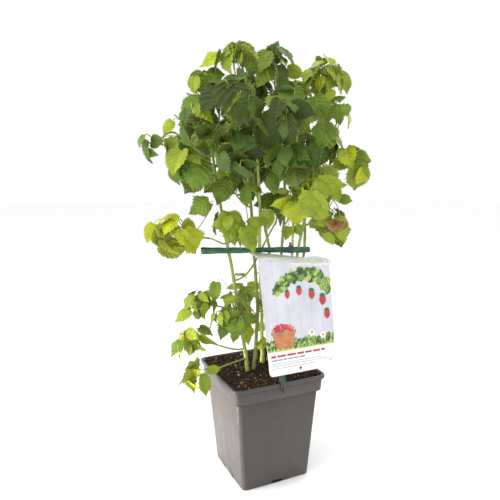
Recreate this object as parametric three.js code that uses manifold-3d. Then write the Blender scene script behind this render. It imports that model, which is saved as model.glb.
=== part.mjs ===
// A raspberry in a square nursery pot, with its tie band and its plant label.
// Millimetres, +Z up. The origin is the middle of the pot's flat underside, and the label is on
// the pot's -Y side. The canes stand in a flat fan whose broad side is turned away from that side.
import * as THREE from "three";
import { mergeVertices } from "three/addons/utils/BufferGeometryUtils.js";
import Module from "manifold-3d";

const wasm = await Module();
wasm.setup();

// Seating gap between two pieces that touch.
const GAP = 0.3;

// Pot: widths are taken across the flat sides.
const POT_HEIGHT = 200;
const RIM_WIDTH = 180;
const LIP_HEIGHT = 7;
const LIP_OUT = 3.5;
const COLLAR_HEIGHT = 30;
const COLLAR_STEP = 5.5;
const COLLAR_TAPER = 1.5;
const BASE_WIDTH = 134;
const WALL = 1.6;
const FLOOR = 3;
const CORNER_SHARE = 0.15;
const SIDE_BULGE = 0.012;
const DRAIN_WIDTH = 20;
const DRAIN_HEIGHT = 5;
const FOOT_ARCH = 1.5;

// Soil: its lowest top level, and how high the lumps of bark stand above it.
const SOIL_TOP = POT_HEIGHT - 3.6;
const SOIL_LUMPS = 4.2;

// The fan of canes is turned this far from the pot's front, clockwise from above.
const FAN_TURN = THREE.MathUtils.degToRad(-24);

// Tie band round the canes.
const BAND_HEIGHT = 7;
const BAND_THICK = 1.2;
const BAND_LEVEL = 421;
const BAND_LEFT = -107;
const BAND_RIGHT = 92;
const BAND_INSIDE = 6.8;

// Plant label: a card that leans back from the rim and folds over to the band.
const CARD_WIDTH = 134;
const CARD_LENGTH = 236;
const CARD_THICK = 0.8;
const CARD_MIDDLE = 43;
const CARD_FOOT = 214;
const CARD_FRONT = -88.5;
const CARD_LEAN = THREE.MathUtils.degToRad(10.5);
const CARD_TWIST = THREE.MathUtils.degToRad(-4.6);
const CARD_FOLD_START = 192;
const CARD_FOLD_SKEW = -12;
const CARD_FOLD_RADIUS = 8;
const CARD_FOLD_ANGLE = THREE.MathUtils.degToRad(74);

// Each cane stands at its foot, passes the band at `tie`, and ends at its tip, where it enters
// its mass of leaves. `bow` swings its lower and its upper half sideways.
const CANES = {
  left_cane: { foot: [-24, -21], tie: -57, tip: [-90, 4, 655], bow: [2, -2], thick: [3.6, 2] },
  middle_cane: { foot: [-14, -16], tie: -12, tip: [-34, -20, 650], bow: [8, 5], thick: [3.5, 1.9] },
  bright_cane: { foot: [4, 18], tie: 0, tip: [-14, -24, 668], bow: [1, 6], thick: [3.7, 2] },
  olive_cane: { foot: [15, 28], tie: 40, tip: [34, 12, 668], bow: [2, 9], thick: [3.1, 1.7] },
  rear_cane: { foot: [-8, 38], tie: 19, tip: [-34, 84, 640], bow: [-8, 2], thick: [3.3, 1.8] },
  upright_cane: { foot: [27, 36], tie: 60, tip: [72, 34, 640], bow: [3, -2], thick: [3, 1.7] },
  right_cane: { foot: [27, 12], tie: 70, tip: [118, -24, 640], bow: [2, -1], thick: [3.3, 1.8] },
  crossing_cane: { foot: [20, 47], tie: 82, tip: [50, 78, 640], bow: [8, 12], thick: [3, 1.7] },
};
const PINCH_FLAT = 24;
const PINCH = 72;

// Each bough leaves a cane at a height and ends at its tip; `rise` lifts its middle.
const BOUGHS = {
  low_side_bough: { from: "left_cane", height: 366, tip: [30, 30, 466], rise: -4, thick: [1.9, 1.4] },
  low_right_bough: { from: "right_cane", height: 466, tip: [112, -6, 524], rise: -4, thick: [1.9, 1.3] },
  low_left_bough: { from: "left_cane", height: 434, tip: [-92, -18, 446], rise: 3, thick: [1.6, 1.2] },
  left_arm: { from: "left_cane", height: 590, tip: [-146, -14, 630], rise: 4, thick: [1.8, 1.2] },
  right_arm: { from: "right_cane", height: 560, tip: [142, -22, 580], rise: 2, thick: [1.8, 1.3] },
};

// Each mass of leaves keeps to an ellipsoid: where its middle is, and how far it reaches.
// It grows from the tip of a limb, or from a limb's side at a height.
const MASSES = {
  top_tip: { on: "bright_cane", middle: [-30, -22, 748], reach: [58, 52, 46], fronds: 3, leaf: 58, seed: 12 },
  top_fold: { on: "olive_cane", middle: [24, -18, 742], reach: [50, 46, 44], fronds: 2, leaf: 66, seed: 20 },
  top_right: { on: "right_cane", middle: [106, -20, 714], reach: [60, 60, 52], fronds: 5, leaf: 44, seed: 8 },
  top_left: { on: "left_cane", middle: [-104, -6, 716], reach: [56, 62, 50], fronds: 4, leaf: 54, seed: 11 },
  top_back: { on: "rear_cane", middle: [-20, 78, 712], reach: [68, 56, 46], fronds: 5, leaf: 58, seed: 21 },
  top_back_right: { on: "crossing_cane", middle: [62, 70, 700], reach: [58, 58, 50], fronds: 5, leaf: 52, seed: 23 },
  front_upper: { on: "bright_cane", height: 636, middle: [-46, -92, 668], reach: [62, 52, 56], fronds: 4, leaf: 76, seed: 28 },
  front_right: { on: "olive_cane", height: 610, middle: [40, -90, 650], reach: [60, 52, 56], fronds: 4, leaf: 70, seed: 30 },
  front_left: { on: "left_cane", height: 606, middle: [-96, -64, 634], reach: [54, 50, 52], fronds: 4, leaf: 60, seed: 34 },
  front_low: { on: "middle_cane", height: 570, middle: [-30, -84, 588], reach: [62, 54, 44], fronds: 4, leaf: 62, seed: 35 },
  front_low_right: { on: "olive_cane", height: 548, middle: [50, -74, 574], reach: [54, 50, 46], fronds: 4, leaf: 62, seed: 41 },
  heart: { on: "middle_cane", middle: [-2, 4, 690], reach: [50, 46, 48], fronds: 4, leaf: 58, seed: 44 },
  inner_low: { on: "middle_cane", height: 540, middle: [-2, 16, 586], reach: [52, 44, 46], fronds: 3, leaf: 56, seed: 52 },
  right_shoulder: { on: "right_cane", height: 606, middle: [142, -10, 660], reach: [52, 58, 52], fronds: 4, leaf: 50, seed: 55 },
  right_group: { on: "right_arm", middle: [160, -26, 572], reach: [52, 56, 46], fronds: 4, leaf: 58, seed: 54 },
  right_drape: { on: "right_cane", height: 540, middle: [92, -72, 534], reach: [46, 46, 62], fronds: 3, leaf: 72, seed: 60 },
  right_back: { on: "upright_cane", middle: [116, 64, 606], reach: [60, 62, 56], fronds: 5, leaf: 58, seed: 63 },
  back_right: { on: "crossing_cane", height: 600, middle: [58, 124, 622], reach: [62, 54, 58], fronds: 5, leaf: 62, seed: 71 },
  back_left: { on: "rear_cane", height: 600, middle: [-62, 122, 624], reach: [64, 54, 58], fronds: 5, leaf: 62, seed: 76 },
  left_back: { on: "left_cane", height: 560, middle: [-116, 58, 616], reach: [56, 62, 56], fronds: 5, leaf: 58, seed: 79 },
  back_low: { on: "rear_cane", height: 540, middle: [-8, 104, 548], reach: [66, 56, 46], fronds: 4, leaf: 60, seed: 83 },
  left_shoulder: { on: "left_cane", height: 622, middle: [-146, -20, 660], reach: [42, 46, 42], fronds: 3, leaf: 46, seed: 93 },
  left_tip: { on: "left_arm", middle: [-184, -18, 606], reach: [38, 42, 44], fronds: 3, leaf: 44, seed: 92 },
  left_hang: { on: "left_cane", height: 556, middle: [-120, -46, 566], reach: [48, 48, 56], fronds: 3, leaf: 66, seed: 101 },
  left_low: { on: "middle_cane", height: 500, middle: [-62, 24, 548], reach: [46, 50, 44], fronds: 3, leaf: 58, seed: 102 },
  right_low: { on: "crossing_cane", height: 514, middle: [92, 30, 552], reach: [52, 52, 46], fronds: 3, leaf: 58, seed: 104 },
  mid_fan_left: { on: "left_cane", height: 452, middle: [-62, -32, 474], reach: [42, 44, 36], fronds: 3, leaf: 56, seed: 111 },
  mid_fan: { on: "middle_cane", height: 438, middle: [-18, -46, 452], reach: [36, 40, 38], fronds: 2, leaf: 54, seed: 119 },
  mid_behind: { on: "low_side_bough", middle: [30, 26, 502], reach: [44, 42, 40], fronds: 2, leaf: 56, seed: 119 },
  core: { on: "bright_cane", height: 588, middle: [4, -42, 626], reach: [46, 44, 50], fronds: 4, leaf: 54, seed: 165 },
  mid_right_fan: { on: "olive_cane", height: 468, middle: [60, -26, 512], reach: [42, 42, 46], fronds: 3, leaf: 54, seed: 177 },
  low_left_leaf: { on: "low_left_bough", middle: [-140, -38, 456], reach: [66, 50, 54], fronds: 4, leaf: 56, seed: 129 },
  low_right_leaf: { on: "low_right_bough", middle: [128, -10, 466], reach: [48, 48, 56], fronds: 4, leaf: 50, seed: 140 },
  foot_left_high: { on: "left_cane", height: 316, middle: [-104, -22, 328], reach: [48, 46, 38], fronds: 3, leaf: 46, seed: 141 },
  foot_middle: { on: "middle_cane", height: 300, middle: [-50, -40, 312], reach: [58, 46, 60], fronds: 5, leaf: 46, seed: 144 },
  foot_left_low: { on: "left_cane", height: 240, middle: [-116, -40, 268], reach: [58, 44, 34], fronds: 3, leaf: 46, seed: 154 },
  foot_over_rim: { on: "left_cane", height: 222, middle: [-110, -78, 214], reach: [42, 40, 46], fronds: 1, leaf: 66, seed: 160 },
  foot_back: { on: "rear_cane", height: 290, middle: [-30, 84, 310], reach: [54, 46, 48], fronds: 2, leaf: 52, seed: 161 },
};
const CROWN_MIDDLE = new THREE.Vector3(0, 0, 640);
const OUTWARD = 0.7;
const TRIES = 90;
const FULL_SHARE = 0.7;
const FULLNESS = 1.05;
const REACH_SHARE = 1.1;

const TINTS = {
  pot: 0x6b6562,
  soil: 0x3a2a20,
  bark: 0x8f9a3c,
  leaf: 0x5c8232,
  band: 0x23503c,
  card: 0xe6e6ea,
  clip: 0x8a8f88,
};

const point = (list) => new THREE.Vector3(...list);
const byHand = (colour, roughness) =>
  new THREE.MeshStandardMaterial({ color: colour, roughness, metalness: 0 });

// ---- solids ----

function solidOf(geometry) {
  const bare = new THREE.BufferGeometry().setAttribute("position", geometry.getAttribute("position"));
  bare.setIndex(geometry.index);
  const merged = mergeVertices(bare, 1e-3);
  const build = (triVerts) =>
    new wasm.Manifold(
      new wasm.Mesh({
        numProp: 3,
        vertProperties: new Float32Array(merged.attributes.position.array),
        triVerts,
      }),
    );
  const faces = new Uint32Array(merged.index.array);
  const made = build(faces);
  return made.volume() >= 0 ? made : build(faces.reverse());
}

function geometryOf(solid) {
  const mesh = solid.getMesh();
  return new THREE.BufferGeometry()
    .setAttribute("position", new THREE.BufferAttribute(mesh.vertProperties, 3))
    .setIndex(new THREE.BufferAttribute(mesh.triVerts, 1));
}

// The largest body of a solid, without the loose scraps and the sealed hollows that fusing leaves.
function largestBody(solid) {
  const bodies = solid.decompose();
  return bodies.reduce((best, body) => (body.volume() > best.volume() ? body : best));
}

function named(name, geometry, material) {
  const mesh = new THREE.Mesh(geometry, material);
  mesh.name = name;
  return mesh;
}

function seededDice(seed) {
  let state = Math.imul(seed, 2654435761) >>> 0;
  return (low, high) => {
    state = (Math.imul(state, 1664525) + 1013904223) >>> 0;
    return low + ((high - low) * state) / 4294967296;
  };
}

// ---- pot and soil ----

const PLAN_STEPS = 6;
const CORNER_STEPS = 3;
const PLAN_STATIONS = 4 * PLAN_STEPS;
const BODY_TOP = RIM_WIDTH / 2 - LIP_OUT - COLLAR_TAPER - COLLAR_STEP;

// The pot's plan at half width 1: a square with round corners and slightly bulged sides.
function planPoint(station) {
  const quarter = Math.floor(station / PLAN_STEPS);
  const step = station % PLAN_STEPS;
  const flat = 1 - CORNER_SHARE;
  let x;
  let y;
  if (step <= CORNER_STEPS) {
    const angle = (step / CORNER_STEPS) * (Math.PI / 2);
    x = flat + CORNER_SHARE * Math.cos(angle);
    y = flat + CORNER_SHARE * Math.sin(angle);
  } else {
    const along = 1 - (2 * (step - CORNER_STEPS)) / (PLAN_STEPS - CORNER_STEPS);
    x = flat * along;
    y = 1 + SIDE_BULGE * (1 - along * along);
  }
  const turn = (quarter * Math.PI) / 2;
  return [x * Math.cos(turn) - y * Math.sin(turn), x * Math.sin(turn) + y * Math.cos(turn)];
}

// A closed profile of [half width, height] pairs carried round the pot's plan.
function squareLathe(profile, lift = () => 0) {
  const round = new THREE.LatheGeometry(
    profile.map(([half, z]) => new THREE.Vector2(half, z)),
    PLAN_STATIONS,
  );
  const place = round.getAttribute("position");
  for (let i = 0; i < place.count; i++) {
    const station = Math.floor(i / profile.length) % PLAN_STATIONS;
    const [half, z] = profile[i % profile.length];
    const [x, y] = planPoint(station);
    place.setXYZ(i, x * half, y * half, z + lift(x * half, y * half, z));
  }
  return round;
}

function pot() {
  const base = BASE_WIDTH / 2;
  const rim = RIM_WIDTH / 2;
  const collarTop = rim - LIP_OUT;
  const collarFoot = collarTop - COLLAR_TAPER;
  const step = POT_HEIGHT - COLLAR_HEIGHT;
  const shell = squareLathe([
    [0, 0],
    [base - 1.5, 0],
    [base, 1.5],
    [BODY_TOP, step - 2],
    [collarFoot, step],
    [collarTop, POT_HEIGHT - LIP_HEIGHT - 1],
    [rim, POT_HEIGHT - LIP_HEIGHT],
    [rim, POT_HEIGHT - 1],
    [rim - 1, POT_HEIGHT],
    [rim - 2.6, POT_HEIGHT],
    [collarTop - WALL, POT_HEIGHT - 2.5],
    [collarFoot - WALL, step + 1],
    [BODY_TOP - WALL, step - 1],
    [base - WALL, FLOOR],
    [0, FLOOR],
  ]);
  let cut = solidOf(shell);
  for (const [face, offset, width] of [
    [0, 0, DRAIN_WIDTH],
    [2, 0, DRAIN_WIDTH],
    [1, -DRAIN_WIDTH, DRAIN_WIDTH / 2],
    [1, DRAIN_WIDTH, DRAIN_WIDTH / 2],
    [3, -DRAIN_WIDTH, DRAIN_WIDTH / 2],
    [3, DRAIN_WIDTH, DRAIN_WIDTH / 2],
  ]) {
    cut = cut.subtract(footBox(face, offset, width, 1.4, DRAIN_HEIGHT, 9));
  }
  for (let face = 0; face < 4; face++) {
    for (const side of [-1, 1]) {
      cut = cut.subtract(footBox(face, side * 0.3 * BASE_WIDTH, 22, -1, FOOT_ARCH, 6));
    }
  }
  return named("pot", geometryOf(cut), byHand(TINTS.pot, 0.45));
}

// A box that cuts the foot of one side of the pot, from the outside to a depth.
function footBox(face, offset, width, low, high, depth) {
  const box = new THREE.BoxGeometry(width, 2 * depth, high - low);
  box.translate(offset, -BASE_WIDTH / 2, (high + low) / 2);
  box.rotateZ((face * Math.PI) / 2);
  return solidOf(box);
}

function soilLift(x, y) {
  const waves =
    Math.sin(x * 0.21 + 1.3) * Math.cos(y * 0.17 + 0.4) +
    0.7 * Math.sin(x * 0.43 + y * 0.31) +
    0.5 * Math.cos(y * 0.61 - x * 0.27);
  return SOIL_LUMPS * THREE.MathUtils.clamp(0.45 + 0.3 * waves, 0, 1);
}

function soil(feet) {
  const step = POT_HEIGHT - COLLAR_HEIGHT;
  const collarFoot = RIM_WIDTH / 2 - LIP_OUT - COLLAR_TAPER;
  const inside = WALL + GAP;
  const edge = collarFoot + COLLAR_TAPER * 0.9 - inside;
  const rings = [0, 0.3, 0.6, 0.88];
  const body = squareLathe(
    [
      ...rings.map((share) => [share * edge, SOIL_TOP]),
      [edge, SOIL_TOP - 1],
      [collarFoot - inside, step + 1.5],
      [BODY_TOP - inside, step - 0.5],
      [BASE_WIDTH / 2 - inside - 0.1, FLOOR + GAP],
      [0, FLOOR + GAP],
    ],
    (x, y, z) => (z > SOIL_TOP - 2 ? soilLift(x, y) * (z < SOIL_TOP ? 0.4 : 1) : 0),
  );
  let cut = solidOf(body);
  for (const foot of feet) {
    const pocket = new THREE.CylinderGeometry(foot.radius + 1.8, foot.radius + 1.8, 20, 6);
    pocket.rotateX(Math.PI / 2);
    pocket.translate(foot.x, foot.y, SOIL_TOP + 10);
    cut = cut.subtract(solidOf(pocket));
  }
  const hook = new THREE.BoxGeometry(CLIP_WIDTH + 2, 8, 30);
  hook.translate(CLIP_MIDDLE, CLIP_INSIDE - 0.5, CLIP_INNER_FOOT + 14.5);
  cut = cut.subtract(solidOf(hook));
  return named("soil", geometryOf(largestBody(cut)), byHand(TINTS.soil, 0.95));
}

// ---- canes and boughs ----

const UP = new THREE.Vector3(0, 0, 1);
const ALONG = new THREE.Vector3(1, 0, 0);

// A tapering limb: a closed cylinder whose rings are carried along a curve. One that stands on
// the soil is cut level at its foot.
function bentCylinder(curve, radiusAt, sides, steps, standing) {
  const straight = new THREE.CylinderGeometry(1, 1, 1, sides, steps);
  const place = straight.getAttribute("position");
  const frames = curve.computeFrenetFrames(steps, false);
  for (let i = 0; i < place.count; i++) {
    const share = place.getY(i) + 0.5;
    const index = Math.round(share * steps);
    const centre = curve.getPointAt(share);
    const tangent = standing && index === 0 ? UP : frames.tangents[index];
    const across = standing
      ? ALONG.clone().addScaledVector(tangent, -tangent.x).normalize()
      : frames.normals[index];
    const other = new THREE.Vector3().crossVectors(tangent, across);
    const radius = radiusAt(share);
    centre.addScaledVector(across, place.getX(i) * radius);
    centre.addScaledVector(other, -place.getZ(i) * radius);
    place.setXYZ(i, centre.x, centre.y, centre.z);
  }
  return straight;
}

class CaneCurve extends THREE.Curve {
  constructor(cane) {
    super();
    this.cane = cane;
  }
  getPoint(share, target = new THREE.Vector3()) {
    const { foot, tie, tip, bow } = this.cane;
    const z = THREE.MathUtils.lerp(SOIL_TOP + GAP, tip[2], share);
    const below = z < BAND_LEVEL;
    const low = below ? SOIL_TOP : BAND_LEVEL;
    const high = below ? BAND_LEVEL : tip[2];
    const part = (z - low) / (high - low);
    const swing = bow[below ? 0 : 1] * Math.sin(Math.PI * part);
    const x = below ? THREE.MathUtils.lerp(foot[0], tie, part) : THREE.MathUtils.lerp(tie, tip[0], part);
    const ease = THREE.MathUtils.smoothstep(Math.abs(z - BAND_LEVEL), PINCH_FLAT, PINCH);
    const y = below ? foot[1] * (1 - part) : tip[1] * part;
    return target.set(x + swing, y * ease, z);
  }
}

const limbs = {};

function cane(name) {
  const { foot, tip, thick } = CANES[name];
  const curve = new CaneCurve(CANES[name]);
  const tall = tip[2] - SOIL_TOP;
  const radiusAt = (share) =>
    THREE.MathUtils.lerp(thick[0], thick[1], share) * (1 + 0.3 * Math.exp((-share * tall) / 9));
  limbs[name] = { curve, radiusAt, end: curve.getPointAt(1), heading: curve.getTangentAt(1) };
  const turned = new THREE.Vector3(foot[0], foot[1], 0).applyAxisAngle(UP, FAN_TURN);
  limbs[name].foot = { x: turned.x, y: turned.y, radius: thick[0] * 1.3 };
  return named(name, bentCylinder(curve, radiusAt, 6, 12, true), byHand(TINTS.bark, 0.6));
}

// Where something leaves a limb: the point on its axis at a height, its radius and direction there.
function seatOn(limbName, height) {
  const limb = limbs[limbName];
  let low = 0;
  let high = 1;
  for (let i = 0; i < 24; i++) {
    const share = (low + high) / 2;
    if (limb.curve.getPointAt(share).z < height) low = share;
    else high = share;
  }
  const tangent = limb.curve.getTangentAt(low);
  return { centre: limb.curve.getPointAt(low), radius: limb.radiusAt(low), tangent };
}

// A route that leaves a limb squarely at its side and ends at a goal.
function sideRoute(limbName, height, goal, rise) {
  const { centre, radius, tangent } = seatOn(limbName, height);
  const out = goal.clone().sub(centre);
  out.addScaledVector(tangent, -out.dot(tangent)).normalize();
  const start = centre.clone().addScaledVector(out, radius + 1.3 * GAP);
  const reach = start.distanceTo(goal);
  const leave = start.clone().addScaledVector(out, 0.25 * reach);
  const arrive = start.clone().lerp(goal, 0.62).addScaledVector(UP, rise);
  return new THREE.CubicBezierCurve3(start, leave, arrive, goal);
}

function bough(name) {
  const { from, height, tip, rise, thick } = BOUGHS[name];
  const curve = sideRoute(from, height, point(tip), rise);
  const radiusAt = (share) => THREE.MathUtils.lerp(thick[0], thick[1], share);
  limbs[name] = { curve, radiusAt, end: curve.getPointAt(1), heading: curve.getTangentAt(1) };
  return named(name, bentCylinder(curve, radiusAt, 6, 6, false), byHand(TINTS.bark, 0.6));
}

// ---- masses of leaves ----

const BLADE_STATIONS = [0.2, 0.62];
const BLADE_MIDRIB = 0.48;
const BLADE_NECK = 5;
const BLADE_THICK = 1.1;
const STALK_RADIUS = 1.1;
const NODE_LENGTH = 3;
const LEAF_CLEAR = 6;
const STALK_CLEAR = 4.5;

// The share of a blade's greatest half width at a share of its length.
function bladeOutline(share) {
  return (Math.pow(share, 0.45) * Math.pow(1 - share, 0.85)) / 0.432;
}

// A point of a leaf blade: `share` runs along its midrib and `side` from one edge to the other.
function bladePoint(leaf, share, side, lift = 0) {
  const angle = leaf.droop * share;
  const along = (leaf.length * Math.sin(angle)) / leaf.droop;
  const down = (leaf.length * (1 - Math.cos(angle))) / leaf.droop;
  const half = (leaf.width / 2) * bladeOutline(share) * Math.abs(side);
  const lobe = 0.1 * leaf.length * Math.abs(side) * Math.pow(1 - share, 4);
  const raise = leaf.fold * half - (leaf.arch * half * half) / leaf.width + lift;
  const slope = leaf.normal.clone().multiplyScalar(Math.cos(angle));
  slope.addScaledVector(leaf.heading, Math.sin(angle));
  return leaf.base
    .clone()
    .addScaledVector(leaf.heading, along - lobe)
    .addScaledVector(leaf.normal, -down)
    .addScaledVector(leaf.across, half * Math.sign(side))
    .addScaledVector(slope, raise);
}

// A leaflet: `side` is 0 at the end of its stalk and 1 or -1 beside it.
function leafOf(side, base, heading, normal, length, roll) {
  const flat = normal.clone().addScaledVector(heading, -normal.dot(heading)).normalize();
  return {
    side,
    base,
    heading,
    normal: flat,
    across: new THREE.Vector3().crossVectors(flat, heading),
    length,
    width: length * roll(0.78, 0.92),
    droop: roll(0.5, 1.15),
    fold: roll(0.02, 0.2),
    arch: roll(0.25, 0.7),
  };
}

// The skin of a blade from its widest root points on: [right, top, left, under] is its open end.
function bladeSkin(leaf, places, faces) {
  const add = (place) => places.push(place) - 1;
  const right = BLADE_STATIONS.map((share) => add(bladePoint(leaf, share, 1)));
  const left = BLADE_STATIONS.map((share) => add(bladePoint(leaf, share, -1)));
  const tip = add(bladePoint(leaf, 1, 0));
  const top = add(bladePoint(leaf, BLADE_MIDRIB, 0, BLADE_THICK / 2));
  const under = add(bladePoint(leaf, BLADE_MIDRIB, 0, -BLADE_THICK / 2));
  const rim = [...right, tip, ...left.slice().reverse()];
  for (let i = 0; i + 1 < rim.length; i++) {
    faces.push([rim[i], top, rim[i + 1]], [rim[i], rim[i + 1], under]);
  }
  return [right[0], top, left[0], under];
}

// A compound leaf as one closed skin: a four-sided stalk whose end, and whose sides at the node,
// open out into blades.
function frondSolid({ route, node, leaves }) {
  const places = [];
  const faces = [];
  const half = NODE_LENGTH / 2 / route.getLength();
  const shares = [0, node / 2, node - half, node + half, 1];
  const rings = shares.map((share) => {
    const tangent = route.getTangentAt(share);
    const across = new THREE.Vector3().crossVectors(leaves[0].normal, tangent).normalize();
    const up = new THREE.Vector3().crossVectors(tangent, across);
    const reach = STALK_RADIUS * (1 - 0.25 * share) * Math.SQRT1_2;
    return [
      [1, 1],
      [-1, 1],
      [-1, -1],
      [1, -1],
    ].map(([a, b]) => {
      const corner = route.getPointAt(share).addScaledVector(across, a * reach);
      return places.push(corner.addScaledVector(up, b * reach)) - 1;
    });
  });
  const sideLeaf = (side) => leaves.find((leaf) => leaf.side === side);
  const stitch = (opening, blade) => {
    for (let i = 0; i < 4; i++) {
      const next = (i + 1) % 4;
      faces.push([opening[i], opening[next], blade[next]], [opening[i], blade[next], blade[i]]);
    }
  };
  faces.push([rings[0][0], rings[0][3], rings[0][2]], [rings[0][0], rings[0][2], rings[0][1]]);
  for (let i = 0; i + 1 < rings.length; i++) {
    const [back, front] = [rings[i], rings[i + 1]];
    for (let k = 0; k < 4; k++) {
      const next = (k + 1) % 4;
      const opens = i === 2 && ((k === 3 && sideLeaf(1)) || (k === 1 && sideLeaf(-1)));
      if (opens) continue;
      faces.push([back[k], back[next], front[next]], [back[k], front[next], front[k]]);
    }
  }
  const [, , back, front, end] = rings;
  const openings = { 0: end, 1: [back[0], front[0], front[3], back[3]] };
  openings[-1] = [front[1], back[1], back[2], front[2]];
  for (const leaf of leaves) stitch(openings[leaf.side], bladeSkin(leaf, places, faces));
  const skin = new THREE.BufferGeometry().setFromPoints(places);
  skin.setIndex(faces.flat());
  return solidOf(skin);
}

function stalk(curve, thickFoot, thickTip, steps) {
  const radiusAt = (share) => THREE.MathUtils.lerp(thickFoot, thickTip, share);
  return solidOf(bentCylinder(curve, radiusAt, 3, steps, false));
}

// How far a point lies from a mass's middle, where 1 is the edge of its space.
function depthIn(mass, place) {
  const [x, y, z] = mass.middle;
  const [a, b, c] = mass.reach;
  return Math.hypot((place.x - x) / a, (place.y - y) / b, (place.z - z) / c) / REACH_SHARE;
}

const CELL_MARGIN = 0.04;
const LIMB_CLEAR = 4;
const POT_CLEAR = 2;

function keepsToSpace(place, mass, limbPoints, leavesStem) {
  const own = depthIn(mass, place);
  if (own > 1) return false;
  for (const other of Object.values(MASSES)) {
    if (other !== mass && depthIn(other, place) < own + CELL_MARGIN) return false;
  }
  for (const limb of limbPoints) {
    if (limb.owner === mass && leavesStem) continue;
    if (segmentDistance(place, limb.from, limb.to) < limb.radius + LIMB_CLEAR) return false;
  }
  return clearOfPot(place) && clearOfCard(place);
}

function segmentDistance(place, from, to) {
  const along = to.clone().sub(from);
  const share = THREE.MathUtils.clamp(place.clone().sub(from).dot(along) / along.lengthSq(), 0, 1);
  return place.distanceTo(from.clone().addScaledVector(along, share));
}

// The pot and the soil, as a square block that no leaf enters.
function clearOfPot(place) {
  const inPotFrame = place.clone().applyAxisAngle(UP, FAN_TURN);
  const half = RIM_WIDTH / 2 + POT_CLEAR;
  const inside = Math.abs(inPotFrame.x) < half && Math.abs(inPotFrame.y) < half;
  return place.z > 1 && !(inside && place.z < POT_HEIGHT + SOIL_LUMPS);
}

// No leaf touches the band, hangs in front of the card, or comes between the two.
function clearOfCard(place) {
  const byBand = Math.abs(place.z - BAND_LEVEL) < BAND_HEIGHT / 2 + 3 && Math.abs(place.y) < 8;
  if (byBand && place.x > BAND_LEFT - 3 && place.x < BAND_RIGHT + 3) return false;
  const spot = place.clone().applyAxisAngle(UP, FAN_TURN);
  const share = (spot.x - CARD_MIDDLE) / CARD_WIDTH;
  if (Math.abs(share) > 0.5 + 3 / CARD_WIDTH) return true;
  if (spot.z < CARD_FOOT - 3 || spot.z > BAND_LEVEL + 10) return true;
  const face = CARD_FRONT + (spot.z - CARD_FOOT) * Math.tan(cardLean(share));
  if (spot.y < face + 5) return false;
  return spot.z < BAND_LEVEL - 28 || spot.y > bandFront(spot.x) + 10;
}

function massStem(mass) {
  const goal = point(mass.middle);
  if (mass.height) return sideRoute(mass.on, mass.height, goal, 0);
  const { end, heading } = limbs[mass.on];
  const start = end.clone().addScaledVector(heading, GAP);
  const leave = start.clone().addScaledVector(heading, 0.3 * start.distanceTo(goal));
  return new THREE.QuadraticBezierCurve3(start, leave, goal);
}

// A direction from a mass's middle, drawn at random and drawn towards the crown's outside.
function wayOut(mass, roll) {
  const out = point(mass.middle).sub(CROWN_MIDDLE).multiply(new THREE.Vector3(1, 1, 0.6)).normalize();
  const rise = roll(-1, 1);
  const turn = roll(0, 2 * Math.PI);
  const level = Math.sqrt(1 - rise * rise);
  const way = new THREE.Vector3(level * Math.cos(turn), level * Math.sin(turn), rise);
  return way.addScaledVector(out, OUTWARD).normalize();
}

// One compound leaf: a stalk that arches over to an end leaflet, with a pair of side leaflets
// further back on it. Null when its end leaflet has no room.
function frond(mass, roll, size, limbPoints, placed) {
  const middle = point(mass.middle);
  const way = wayOut(mass, roll);
  const depth = roll(0.35, 0.72);
  const normal = way.clone().addScaledVector(UP, 0.5).normalize();
  const fall = new THREE.Vector3(way.x * 0.6, way.y * 0.6, -roll(0.5, 1.1));
  fall.add(new THREE.Vector3(roll(-0.35, 0.35), roll(-0.35, 0.35), 0));
  const heading = fall.addScaledVector(normal, -fall.dot(normal)).normalize();
  const length = mass.leaf * size * roll(0.9, 1.12);
  const base = middle.clone().add(way.multiply(point(mass.reach)).multiplyScalar(depth));
  base.addScaledVector(heading, -0.45 * length);
  const start = mass.stem.getPointAt(roll(0.5, 0.98));
  const bend = base.clone().addScaledVector(heading, -0.5 * start.distanceTo(base));
  const route = new THREE.QuadraticBezierCurve3(start, bend, base);
  const node = Math.max(0.4, 1 - (0.34 * length) / route.getLength());
  const tip = leafOf(0, base, heading, normal, length, roll);
  const pair = [1, -1].map((side) => {
    const turned = heading.clone().applyAxisAngle(tip.normal, side * roll(1.15, 1.45));
    const tilted = tip.normal.clone().addScaledVector(tip.across, side * 0.2);
    const root = route.getPointAt(node).addScaledVector(turned, BLADE_NECK);
    return leafOf(side, root, turned, tilted, length * roll(0.68, 0.82), roll);
  });
  if (!bladeFits(tip, mass, limbPoints, placed)) return null;
  if (!routeFits(route, mass, limbPoints, placed)) return null;
  const leaves = [tip];
  for (const leaf of pair) {
    const sofar = [...placed, ...leaves.map(bladeMarks)];
    if (bladeFits(leaf, mass, limbPoints, sofar)) leaves.push(leaf);
  }
  return { route, node, leaves };
}

// Points spread over a blade, from a little beyond its root.
function bladeMarks(leaf) {
  const marks = [bladePoint(leaf, 1, 0)];
  for (const share of [0.3, 0.45, 0.6, 0.75, 0.9]) {
    for (const side of [-1, -0.5, 0, 0.5, 1]) marks.push(bladePoint(leaf, share, side));
  }
  return marks;
}

function bladeFits(leaf, mass, limbPoints, placed) {
  const marks = bladeMarks(leaf);
  if (!marks.every((mark) => keepsToSpace(mark, mass, limbPoints, false))) return false;
  const apart = LEAF_CLEAR * LEAF_CLEAR;
  return placed.every((other) =>
    other.every((theirs) => marks.every((mark) => mark.distanceToSquared(theirs) > apart)),
  );
}

function routeFits(route, mass, limbPoints, placed) {
  const apart = STALK_CLEAR * STALK_CLEAR;
  return [0.25, 0.35, 0.45, 0.55, 0.65, 0.75, 0.85, 0.95].every((share) => {
    const place = route.getPointAt(share);
    const clear = placed.every((other) => other.every((mark) => mark.distanceToSquared(place) > apart));
    return clear && keepsToSpace(place, mass, limbPoints, true);
  });
}

const routeMarks = (route) => [0.3, 0.42, 0.54, 0.66, 0.78, 0.9].map((share) => route.getPointAt(share));

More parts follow.
